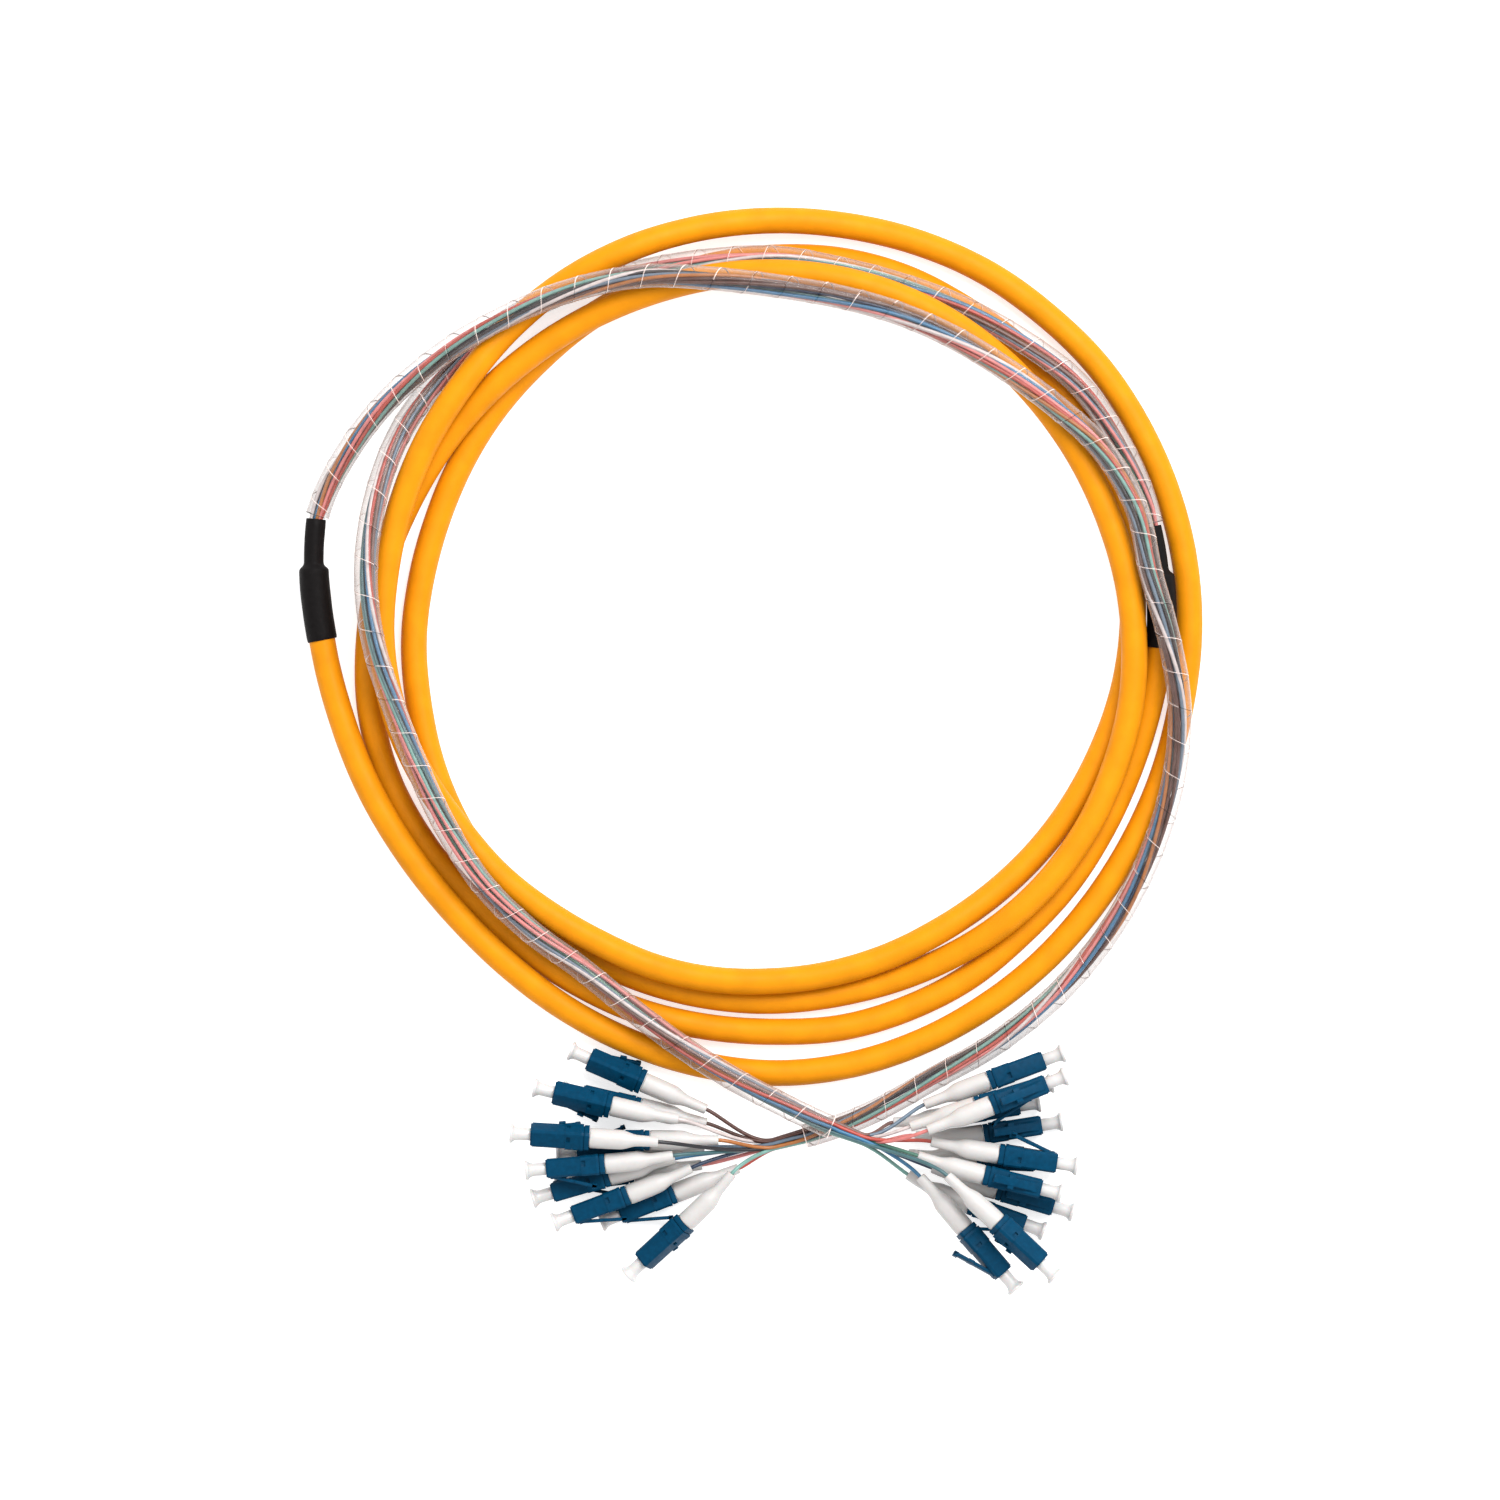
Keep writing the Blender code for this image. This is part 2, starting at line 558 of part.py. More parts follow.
def build_plugs(end, places, housing, core, parts):
    """The twelve plugs of one end, each a housing with its core."""
    for number, place in enumerate(places):
        for kind, mesh in (("housing", housing), ("core", core)):
            plug = bpy.data.objects.new(f"lc_{kind}_{end}{number + 1:02d}", mesh)
            plug.matrix_world = plug_matrix(place)
            parts.objects.link(plug)


def main():
    """Build the whole cable."""
    clear_scene()
    parts = collection("fibre_optic_trunk_cable")
    cutters = collection("cutters")
    build_trunk(parts)
    ends = (
        ("a", SLEEVE_A_ROUTE, TAIL_A_ROUTE, PLUGS_A),
        ("b", SLEEVE_B_ROUTE, TAIL_B_ROUTE, PLUGS_B),
    )
    housing = housing_mesh(cutters)
    core = core_mesh()
    for end, sleeve_rows, tail_rows, plugs in ends:
        build_sleeve(f"furcation_sleeve_{end}", sleeve_rows, parts, cutters)
        build_wrap(f"spiral_wrap_{end}", tail_rows, parts)
        build_bundle(f"fibre_bundle_{end}", sleeve_rows, tail_rows, plugs, parts, cutters)
        build_plugs(end, plugs, housing, core, parts)


main()
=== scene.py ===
"""Fibre optic trunk cable: a loose coil with a fan of LC plugs at each end."""

import math
from bisect import bisect_right

import bmesh
import bpy
from bpy.props import FloatProperty, FloatVectorProperty, PointerProperty
from mathutils import Matrix, Vector, noise


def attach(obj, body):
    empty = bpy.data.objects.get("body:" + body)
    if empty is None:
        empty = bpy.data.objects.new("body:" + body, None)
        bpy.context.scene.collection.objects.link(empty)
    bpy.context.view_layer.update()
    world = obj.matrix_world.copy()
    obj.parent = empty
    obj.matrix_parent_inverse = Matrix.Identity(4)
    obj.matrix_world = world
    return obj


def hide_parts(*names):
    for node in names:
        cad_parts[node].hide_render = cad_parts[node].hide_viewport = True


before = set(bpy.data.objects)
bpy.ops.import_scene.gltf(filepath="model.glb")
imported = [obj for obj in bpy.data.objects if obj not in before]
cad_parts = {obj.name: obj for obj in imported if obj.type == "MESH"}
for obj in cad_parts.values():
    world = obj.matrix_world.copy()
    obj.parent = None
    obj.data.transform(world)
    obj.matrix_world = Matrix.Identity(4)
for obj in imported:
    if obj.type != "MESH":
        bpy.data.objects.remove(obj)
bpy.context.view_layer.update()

bl_info = {
    "name": "Fibre Optic Trunk Cable",
    "version": (1, 0, 0),
    "blender": (4, 5, 0),
    "location": "3D View > Sidebar > Trunk Cable",
    "description": "Builds a coiled trunk cable with its sleeves, wrapped fibres and plugs",
    "category": "Add Mesh",
}

MM = 0.001

COIL_CENTRE = Vector((5.6 * MM, 25.5 * MM, 0.0))

# Height in mm of a plug's axis when the plug lies on the floor, and the sides of its boot and cap.
PLUG_HEIGHT = 2.55
PLUG_SIDES = 28

# The solid cable is an eight-sided tube that lies on a flat side. That side is nearer the axis
# than the round jacket's underside by this factor, so the floor lies a little lower.
FLAT = math.cos(math.pi / 8)
FLOOR_HEIGHT = -0.26 * MM
FLOOR_HALF = 12.0

# Height at which the camera takes in the width that is set, and its offset along Y.
FOCUS_HEIGHT = 5 * MM
VIEW_OFFSET = -0.35 * MM

# Centrelines as (angle in degrees about the coil's centre, radius in mm, lift in mm).
# The lift is the height above a jacket that lies on the floor.
TRUNK_ROUTE = [
    (180.2, 106.1, 0.5), (190, 103.3, 2.1), (200, 101.3, 4.5), (210, 99.6, 4.9), (220, 98.6, 4.8),
    (230, 98.6, 4.0), (240, 99.4, 1.7), (250, 100.3, 0), (260, 101.2, 0), (270, 101.8, 0),
    (280, 101.5, 0), (290, 100.6, 0), (300, 99.5, 0), (310, 98.5, 0), (320, 97.5, 0),
    (330, 96.9, 0), (340, 96.8, 0), (350, 96.9, 0), (360, 97.6, 0), (370, 98.3, 0),
    (380, 98.8, 0), (390, 99.3, 0), (400, 99.8, 0), (410, 99.7, 0), (420, 99.8, 0),
    (430, 99.4, 0), (440, 98.9, 0.6), (450, 98.6, 2.4), (460, 98.3, 5.3), (470, 97.9, 8.5),
    (480, 97.2, 8.0), (490, 96.0, 7.6), (500, 94.6, 9.2), (510, 93.9, 8.9), (520, 93.1, 7.2),
    (530, 92.5, 6.8), (540, 92.1, 6.7), (550, 90.9, 6.7), (560, 88.8, 6.7), (570, 86.4, 6.7),
    (580, 85.0, 6.7), (590, 83.3, 6.7), (600, 82.1, 6.4), (610, 81.7, 5.9), (620, 81.0, 5.6),
    (630, 80.1, 5.2), (640, 79.5, 4.6), (650, 79.0, 3.9), (660, 78.6, 3.6), (670, 78.8, 1.9),
    (680, 79.4, 0.4), (690, 80.2, 0), (700, 81.2, 0), (710, 82.7, 0), (720, 84.1, 0),
    (730, 85.5, 0), (740, 87.1, 0), (750, 88.1, 0), (760, 89.2, 0), (770, 89.7, 0),
    (780, 89.9, 0), (790, 90.6, 0), (800, 90.6, 0), (810, 89.9, 0), (820, 89.1, 0),
    (830, 88.1, 0), (840, 87.2, 0), (850, 86.0, 0), (860, 85.2, 0), (870, 84.5, 0),
    (880, 84.0, 0), (890, 84.1, 0), (900, 84.6, 0), (910, 84.8, 0), (920, 85.5, 0),
    (930, 86.1, 0), (940, 86.3, 0), (950, 86.3, 0), (960, 85.9, 0), (970, 85.5, 0),
    (980, 85.1, 0), (990, 84.8, 0), (1000, 84.5, 0), (1010, 84.7, 0.3), (1020, 85.2, 2.8),
    (1030, 85.7, 5.6), (1040, 85.9, 5.9), (1050, 85.8, 6.0), (1060, 85.4, 6.1), (1070, 85.2, 6.6),
    (1080, 84.6, 6.8), (1090, 84.1, 6.6), (1100, 83.7, 6.1), (1110, 83.7, 5.9), (1120, 84.0, 6.7),
    (1130, 84.6, 8.5), (1140, 85.2, 11.1), (1150, 85.7, 12.3), (1160, 86.0, 12.4),
    (1170, 86.2, 12.1), (1180, 86.4, 11.5), (1190, 86.6, 9.5), (1200, 87.2, 7.3),
    (1210, 88.0, 6.4), (1220, 89.1, 5.4), (1230, 90.4, 2.9), (1240, 91.9, 0.5),
    (1250, 93.8, 0), (1260, 95.2, 0), (1270, 96.3, 0),
    (1280, 96.3, 0), (1290, 95.2, 0), (1300, 93.9, 0), (1310, 93.1, 0), (1320, 92.9, 0),
    (1330, 92.8, 0), (1340, 92.3, 0), (1350, 92.1, 0), (1360, 92.5, 0), (1370, 92.1, 0),
    (1380, 91.5, 0), (1390, 90.2, 0), (1400, 89.7, 0), (1410, 89.1, 0), (1420, 89.0, 0.2),
    (1430, 89.6, 1.5), (1438.7, 90.9, 3.2),
]
SLEEVE_A_ROUTE = [(180.2, 106.1, 0.5), (175.5, 107.8, 0.5), (171, 109.5, 0.45), (165.2, 111.3, 0.1)]
SLEEVE_B_ROUTE = [(-1.3, 90.9, 3.2), (4.6, 91.4, 3.7), (10.4, 91.9, 3.9), (16.7, 92.6, 4.1)]
TAIL_A_ROUTE = [
    (165.2, 111.3, 0.1), (160, 110.6, 0.6), (150, 107.5, 4.4), (140, 103.2, 9.4), (130, 98.7, 13.8),
    (120, 94.7, 14.8), (110, 90.7, 15.7), (100, 86.0, 17.7), (90, 83.0, 17.8), (80, 81.9, 17.5),
    (70, 81.9, 17.3), (60, 82.4, 16.6), (50, 83.5, 14.8), (40, 85.8, 12.9), (30, 89.1, 11.3),
    (20, 90.5, 10.9), (10, 89.9, 10.9), (0, 92.8, 10.3), (-10, 96.8, 7.9), (-20, 99.6, 6.0),
    (-30, 101.9, 4.1), (-40, 104.2, 1.3), (-50, 106.3, -0.1), (-60, 108.0, -0.1),
    (-70, 109.7, -0.1), (-80, 114.2, -0.1), (-86.4, 116.8, -0.1),
]
TAIL_B_ROUTE = [
    (16.7, 92.6, 4.1), (20, 93.1, 4.2), (30, 93.5, 4.6), (40, 93.4, 5.3), (50, 91.4, 6.2),
    (60, 89.8, 6.4), (70, 88.6, 6.4), (80, 88.6, 6.4), (90, 89.8, 6.4), (100, 90.5, 6.4),
    (110, 92.1, 4.9), (120, 95.2, 1.2), (130, 97.8, -0.1), (140, 99.4, 1.0), (150, 100.4, 5.4),
    (160, 99.3, 9.6), (170, 97.2, 11.5), (180, 94.1, 12.7), (190, 90.6, 13.0), (200, 88.8, 13.0),
    (210, 88.6, 12.7), (220, 89.2, 11.6), (230, 89.1, 9.4), (240, 89.5, 7.2), (250, 93.5, 6.6),
    (260, 99.9, 6.4), (270, 108.1, 6.2), (276.7, 115.1, 6.1),
]

# Plugs as (x mm, y mm, lift mm, heading, pitch, roll in degrees) of the housing's front centre,
# from the coil's centre. A heading of 0 points the cap along +X, and a roll of 0 puts the
# latch on top.
PLUGS_A = [
    (-43.4, -98.4, 2.6, 156.6, 0, 140),
    (-51.7, -106.2, 8.5, 166.7, 0, -135),
    (-45.0, -106.7, 0, 166.7, 0, 0),
    (-57.1, -116.0, 13.8, 176.6, 0, 150),
    (-43.0, -117.5, 5.4, 180, 0, 0),
    (-53.5, -124.1, 10.8, 184.7, 0, -90),
    (-46.3, -120.0, 0, 181.8, 0, 90),
    (-52.1, -129.9, 5.4, 196.2, 0, 90),
    (-46.7, -127.0, 0, 187, 0, -90),
    (-47.2, -135.2, 5.4, 200.6, 0, -90),
    (-36.2, -135.1, 0, 201.3, 0, -90),
    (-30.8, -146.1, 0.9, 222.6, -10, -155),
]
PLUGS_B = [
    (63.5, -98.7, 3.9, 20.4, 0, 180),
    (64.0, -104.1, 13.8, 21.4, 0, 0),
    (60.7, -105.5, 8.4, 17, 0, 90),
    (57.8, -109.4, 0, 9, 0, 0),
    (63, -114, 0, 9, 0, 0),
    (66.5, -122.8, 8.4, -8.7, 0, -85),
    (61.5, -122.7, 0, -2.5, 0, 0),
    (62.8, -128.9, 8.4, -13.7, 0, 0),
    (65.8, -133.2, 0, -16.5, 0, 0),
    (59, -137.4, 0, -19.8, 0, 90),
    (62.6, -146.2, 11.7, -43, 0, 150),
    (53.9, -148.8, 5.4, -49.3, 0, 75),
]

# The plug whose latch stands off further than the others, and by how much.
SPRUNG_PLUG = "b12"
SPRUNG_BY = math.radians(4)

# Where each boot's bent end lies beside its plug's axis, in mm to the left of the plug's heading.
BOOT_SWAY = {
    "a02": -0.6, "a06": -0.6, "a08": 0.3, "a10": -0.7, "a12": -1.1,
    "b04": 0.7, "b05": 2.2, "b06": 0.5, "b07": 0.6, "b08": 0.7, "b09": 0.6, "b10": 1.8,
}

# Fibre colours by plug, and the plugs' order round the bundle: nine outside, then three inside.
FIBRE_COLOURS = {
    "a": [
        "brown", "white", "brown", "black", "orange", "teal",
        "slate", "blue", "rose", "navy", "red", "aqua",
    ],
    "b": [
        "slate", "rose", "white", "umber", "rose", "red",
        "orange", "green", "navy", "aqua", "teal", "blue",
    ],
}
BUNDLE_ORDER = {
    "a": [1, 3, 7, 4, 12, 11, 9, 8, 2, 10, 5, 6],
    "b": [10, 11, 12, 6, 4, 1, 3, 2, 5, 9, 7, 8],
}
OUTER_FIBRES, INNER_FIBRES = 9, 3
TINTS = {
    "blue": (0.02, 0.11, 0.21), "navy": (0.007, 0.022, 0.055), "orange": (0.3, 0.1, 0.02),
    "green": (0.055, 0.15, 0.11), "brown": (0.062, 0.022, 0.015), "umber": (0.13, 0.07, 0.06),
    "slate": (0.09, 0.13, 0.175), "white": (0.46, 0.4, 0.39), "red": (0.33, 0.045, 0.03),
    "black": (0.01, 0.01, 0.013), "rose": (0.5, 0.15, 0.14), "aqua": (0.12, 0.25, 0.22),
    "teal": (0.035, 0.095, 0.105),
}

# Turns that the bundle makes about itself in a tail, and those of the fibres that stray over it.
BUNDLE_TURNS = 2.5
STRAY_TURNS = {"a02": 4.5, "a05": 4.1, "b03": 3.4, "b02": 2.7}

# The inner fibres lie on a ring at this share of the bundle's radius. The straying ones lie
# beyond the bundle's radius by this share of a fibre's diameter.
INNER_RING = 0.42
STRAY_RISE = 0.27

# A fibre starts this far inside its sleeve, at this share of its distance from the axis.
FIBRE_ROOT = 5 * MM
ROOT_SQUEEZE = 0.8

# A bundle lies this far towards the coil's centre in its wrap, and settles there over a run
# of this length at each end.
BUNDLE_LEAN = 0.42 * MM
SETTLE_RUN = 20 * MM

# Each fibre drifts round the bundle by this angle in radians, and in and out by these shares
# of its distance from the axis, over about these lengths.
DRIFT, DRIFT_RUN = 0.45, 30 * MM
SWELL, STRAY_SWELL, SWELL_RUN = 0.08, 0.03, 22 * MM

# Past the wrap the fibres stay together for three steps of this length, and close up by this
# share at each.
LOOSE_STEP, LOOSE_GATHER = 2.4 * MM, 0.07

# A fibre leaves the bundle and enters its boot with curves this strong, as shares of the
# distance between the two, and ends this far inside the boot.
LEAVING, ENTERING = 0.95, 0.7
BOOT_REACH = 2.5 * MM


# Lines and frames


def smooth_rows(rows):
    """Rows along a smooth curve through the given (angle, radius, lift) rows."""
    per_span = 20
    points = [Vector(row) for row in rows]
    points = [2 * points[0] - points[1]] + points + [2 * points[-1] - points[-2]]
    made = []
    for before, start, end, after in zip(points, points[1:], points[2:], points[3:]):
        span = end.x - start.x
        leave = (end - before) * (span / (end.x - before.x))
        arrive = (after - start) * (span / (after.x - start.x))
        for k in range(per_span):
            made.append(hermite(start, leave, end, arrive, k / per_span))
    return made + [points[-2]]


def hermite(start, leave, end, arrive, t):
    """The point at t, from 0 to 1, on a curve with the given ends and end slopes."""
    return (
        (2 * t**3 - 3 * t**2 + 1) * start + (t**3 - 2 * t**2 + t) * leave
        + (3 * t**2 - 2 * t**3) * end + (t**3 - t**2) * arrive
    )


def route_path(rows, radius):
    """World points of a route, for a tube that lies on the floor where the lift is nought."""
    lowest = min(row[2] for row in rows)
    path = []
    for angle, reach, lift in smooth_rows(rows):
        turn = math.radians(angle)
        out = Vector((math.cos(turn), math.sin(turn), 0.0)) * reach * MM
        path.append(COIL_CENTRE + out + Vector((0, 0, radius + max(lift, lowest) * MM)))
    return path


class Line:
    """A path that can be read at any distance, with directions that don't twist."""

    def __init__(self, points):
        self.points = points
        self.reach = [0.0]
        for a, b in zip(points, points[1:]):
            self.reach.append(self.reach[-1] + (b - a).length)
        self.length = self.reach[-1]

    def at(self, distance):
        """Point at a distance along the line, which runs on straight past its ends."""
        i = min(max(bisect_right(self.reach, distance) - 1, 0), len(self.points) - 2)
        a, b = self.points[i], self.points[i + 1]
        return a + (b - a) * ((distance - self.reach[i]) / (self.reach[i + 1] - self.reach[i]))

    def frame(self, distance):
        """Point, direction, sideways direction and upward direction at a distance."""
        step = 0.4 * MM
        along = (self.at(distance + step) - self.at(distance - step)).normalized()
        side = along.cross(Vector((0, 0, 1))).normalized()
        return self.at(distance), along, side, side.cross(along)

    def off(self, distance, angle, radius):
        """A point beside the line, at an angle from its side direction."""
        point, _, side, up = self.frame(distance)
        return point + (side * math.cos(angle) + up * math.sin(angle)) * radius

    def spaced(self, step):
        """Points at about the given step."""
        count = max(2, round(self.length / step) + 1)
        return [self.at(self.length * i / (count - 1)) for i in range(count)]


def ripple(point, scale, seed=0.0):
    """A smooth value from -1 to 1 that varies over about the given distance."""
    return noise.noise(point / scale + Vector((seed, 3.1 * seed, -seed)))


# Meshes


def finished(name, form, material):
    """Turn a bmesh into a piece of the cable."""
    mesh = bpy.data.meshes.new(name)
    form.to_mesh(mesh)
    form.free()
    return placed(name, mesh, [material], 40)


def placed(name, mesh, materials, smooth):
    """Link a mesh as a piece that rides on the cable's one body, smooth up to an angle."""
    for item in materials:
        mesh.materials.append(item)
    mesh.shade_smooth()
    mesh.set_sharp_from_angle(angle=math.radians(smooth))
    made = bpy.data.objects.new(name, mesh)
    bpy.context.scene.collection.objects.link(made)
    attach(made, "root")
    return made


def loft(rings):
    """A tube through rings of points, with its ends closed."""
    form = bmesh.new()
    rows = [[form.verts.new(p) for p in ring] for ring in rings]
    for low, high in zip(rows, rows[1:]):
        for k in range(len(low)):
            n = (k + 1) % len(low)
            form.faces.new((low[k], low[n], high[n], high[k]))
    form.faces.new(rows[0][::-1])
    form.faces.new(rows[-1])
    return form


def turned_rings(line, profile, sides):
    """Rings round a line from (distance, radius) pairs."""
    return [[line.off(d, -math.tau * k / sides, r) for k in range(sides)] for d, r in profile]


def evaluated(thing):
    """A mesh of an object with its modifiers applied."""
    bpy.context.view_layer.update()
    graph = bpy.context.evaluated_depsgraph_get()
    return bpy.data.meshes.new_from_object(thing.evaluated_get(graph))


# Finishes


def finish(name, colour, roughness, **sockets):
    """A Principled material, and the parts of it that patterns are wired to.

    A socket is named in small letters: coat_weight sets Coat Weight.
    """
    made = bpy.data.materials.new(name)
    made.use_nodes = True
    tree = made.node_tree
    shader = tree.nodes["Principled BSDF"]
    shader.inputs["Base Color"].default_value = (*colour, 1.0)
    shader.inputs["Roughness"].default_value = roughness
    for key, value in sockets.items():
        shader.inputs[key.replace("_", " ").title().replace("Ior", "IOR")].default_value = value
    return made, tree, shader


def pattern(tree, scale, low, high, detail=3.0):
    """A noise value between low and high that is fixed to the piece."""
    place = tree.nodes.new("ShaderNodeTexCoord")
    clouds = tree.nodes.new("ShaderNodeTexNoise")
    clouds.inputs["Scale"].default_value = scale
    clouds.inputs["Detail"].default_value = detail
    ends = tree.nodes.new("ShaderNodeMapRange")
    ends.inputs["From Min"].default_value = 0.3
    ends.inputs["From Max"].default_value = 0.7
    ends.inputs["To Min"].default_value = low
    ends.inputs["To Max"].default_value = high
    tree.links.new(place.outputs["Object"], clouds.inputs["Vector"])
    tree.links.new(clouds.outputs["Fac"], ends.inputs["Value"])
    return ends.outputs["Result"]


def mottle(tree, shader, dark, light, scale, detail=3.0):
    """Vary a base colour between two tones."""
    mix = tree.nodes.new("ShaderNodeMix")
    mix.data_type = "RGBA"
    mix.inputs["A"].default_value = (*dark, 1.0)
    mix.inputs["B"].default_value = (*light, 1.0)
    tree.links.new(pattern(tree, scale, 0.0, 1.0, detail), mix.inputs["Factor"])
    tree.links.new(mix.outputs["Result"], shader.inputs["Base Color"])


def roughen(tree, shader, scale, low, high):
    """Vary a roughness between two values."""
    tree.links.new(pattern(tree, scale, low, high), shader.inputs["Roughness"])


def grain(tree, shader, scale, depth):
    """Give a surface a fine moulded grain of the given depth."""
    bump = tree.nodes.new("ShaderNodeBump")
    bump.inputs["Strength"].default_value = 1.0
    bump.inputs["Distance"].default_value = depth
    tree.links.new(pattern(tree, scale, 0.0, 1.0, 4.0), bump.inputs["Height"])
    tree.links.new(bump.outputs["Normal"], shader.inputs["Normal"])


def tone(colour, factor):
    """A colour made darker or lighter."""
    return tuple(min(1.0, c * factor) for c in colour)


def moulded(name, colour, roughness, depth, spread, **sockets):
    """A moulded plastic: slightly uneven colour and sheen over a grain of the given depth."""
    made, tree, shader = finish(name, colour, roughness, **sockets)
    mottle(tree, shader, tone(colour, 1 - spread), tone(colour, 1 + spread), 900, 5.0)
    roughen(tree, shader, 700, roughness - 0.06, roughness + 0.08)
    grain(tree, shader, 5200, depth)
    return made


def film_material(name, colour, low, high, roughness, edge_on=0.9):
    """A face of a clear wrap, milky from low to high, and more so where it is seen edge on."""
    made, tree, shader = finish(
        name, colour, roughness, specular_ior_level=0.7, coat_weight=0.4, coat_roughness=0.08)
    milk = pattern(tree, 260, low, high)
    edge = tree.nodes.new("ShaderNodeLayerWeight")
    edge.inputs["Blend"].default_value = 0.5
    rise = tree.nodes.new("ShaderNodeMath")
    rise.operation = "POWER"
    rise.inputs[1].default_value = 1.55
    more = tree.nodes.new("ShaderNodeMath")
    more.operation = "MULTIPLY_ADD"
    more.use_clamp = True
    more.inputs[1].default_value = edge_on
    tree.links.new(edge.outputs["Facing"], rise.inputs[0])
    tree.links.new(rise.outputs["Value"], more.inputs[0])
    tree.links.new(milk, more.inputs[2])
    tree.links.new(more.outputs["Value"], shader.inputs["Alpha"])
    grain(tree, shader, 700, 0.006 * MM)
    return made


# What a user can set


class TrunkCableSizes(bpy.types.PropertyGroup):
    """Sizes of the trunk, its furcation sleeves and its tails."""

    jacket_diameter: FloatProperty(
        name="Jacket Diameter", description="Outside diameter of the trunk's jacket",
        default=6.2 * MM, min=3 * MM, max=12 * MM, unit="LENGTH")
    sleeve_diameter: FloatProperty(
        name="Sleeve Diameter", description="Outside diameter of a sleeve over the jacket",
        default=7.1 * MM, min=4 * MM, max=14 * MM, unit="LENGTH")
    neck_diameter: FloatProperty(
        name="Neck Diameter", description="Outside diameter of a sleeve over the fibres",
        default=4.7 * MM, min=3 * MM, max=10 * MM, unit="LENGTH")
    sleeve_length: FloatProperty(
        name="Wide Length", description="Length of the wide end of a furcation sleeve",
        default=17 * MM, min=5 * MM, max=40 * MM, unit="LENGTH")
    wrap_diameter: FloatProperty(
        name="Wrap Diameter", description="Outside diameter of the clear spiral wrap",
        default=5.8 * MM, min=3 * MM, max=12 * MM, unit="LENGTH")
    film_thickness: FloatProperty(
        name="Film Thickness", description="Wall of the clear spiral wrap",
        default=0.2 * MM, min=0.1 * MM, max=1.5 * MM, unit="LENGTH")
    slit_pitch: FloatProperty(
        name="Slit Pitch", description="Distance along the tail between turns of the slit",
        default=8.3 * MM, min=3 * MM, max=30 * MM, unit="LENGTH")
    slit_width: FloatProperty(
        name="Slit Width", description="Gap between two turns of the wrap on a straight tail",
        default=0.12 * MM, min=0.0, max=3 * MM, unit="LENGTH")
    fibre_diameter: FloatProperty(
        name="Fibre Diameter", description="Outside diameter of one buffered fibre",
        default=0.9 * MM, min=0.2 * MM, max=3 * MM, unit="LENGTH")
    bundle_radius: FloatProperty(
        name="Bundle Radius", description="Radius of the ring on which a tail's outer fibres lie",
        default=1.4 * MM, min=0.5 * MM, max=3 * MM, unit="LENGTH")


class PlugSizes(bpy.types.PropertyGroup):
    """Sizes of an LC plug with its boot and dust cap."""

    body_width: FloatProperty(
        name="Body Width", description="Width across the front of the housing",
        default=4.56 * MM, min=3 * MM, max=8 * MM, unit="LENGTH")
    collar_width: FloatProperty(
        name="Collar Width", description="Width across the rear of the housing",
        default=5.0 * MM, min=3 * MM, max=8 * MM, unit="LENGTH")
    housing_length: FloatProperty(
        name="Housing Length", description="Length of the housing from its front to the boot",
        default=13.8 * MM, min=8 * MM, max=25 * MM, unit="LENGTH")
    latch_length: FloatProperty(
        name="Latch Length", description="Length of the latch arm from its root to its tip",
        default=10.4 * MM, min=4 * MM, max=16 * MM, unit="LENGTH")
    latch_angle: FloatProperty(
        name="Latch Angle", description="Angle at which the latch arm stands off the housing",
        default=math.radians(17), min=0.0, max=math.radians(35), subtype="ANGLE")
    boot_diameter: FloatProperty(
        name="Boot Diameter", description="Outside diameter of the boot behind the housing",
        default=4.76 * MM, min=3 * MM, max=8 * MM, unit="LENGTH")
    boot_length: FloatProperty(
        name="Boot Length", description="Length of the boot from the housing to its end",
        default=16.2 * MM, min=8 * MM, max=30 * MM, unit="LENGTH")
    cap_length: FloatProperty(
        name="Cap Length", description="Length of the dust cap in front of the housing",
        default=4.9 * MM, min=2 * MM, max=10 * MM, unit="LENGTH")
    cap_diameter: FloatProperty(
        name="Cap Rim Diameter", description="Diameter of the flared rim of the dust cap",
        default=4.6 * MM, min=3 * MM, max=8 * MM, unit="LENGTH")


class CableColours(bpy.types.PropertyGroup):
    """Colours of the moulded and drawn parts."""

    jacket: FloatVectorProperty(
        name="Jacket", description="Colour of the trunk's jacket",
        default=(0.58, 0.205, 0.003), min=0.0, max=1.0, size=3, subtype="COLOR")
    sleeve: FloatVectorProperty(
        name="Sleeve", description="Colour of the furcation sleeves",
        default=(0.005, 0.0042, 0.0043), min=0.0, max=1.0, size=3, subtype="COLOR")
    film: FloatVectorProperty(
        name="Film", description="Tint of the clear spiral wrap",
        default=(0.35, 0.285, 0.262), min=0.0, max=1.0, size=3, subtype="COLOR")
    housing: FloatVectorProperty(
        name="Housing", description="Colour of the plug housings and latches",
        default=(0.0003, 0.033, 0.074), min=0.0, max=1.0, size=3, subtype="COLOR")
    boot: FloatVectorProperty(
        name="Boot", description="Colour of the boots",
        default=(0.43, 0.415, 0.405), min=0.0, max=1.0, size=3, subtype="COLOR")
    cap: FloatVectorProperty(
        name="Cap", description="Colour of the dust caps",
        default=(0.465, 0.455, 0.45), min=0.0, max=1.0, size=3, subtype="COLOR")


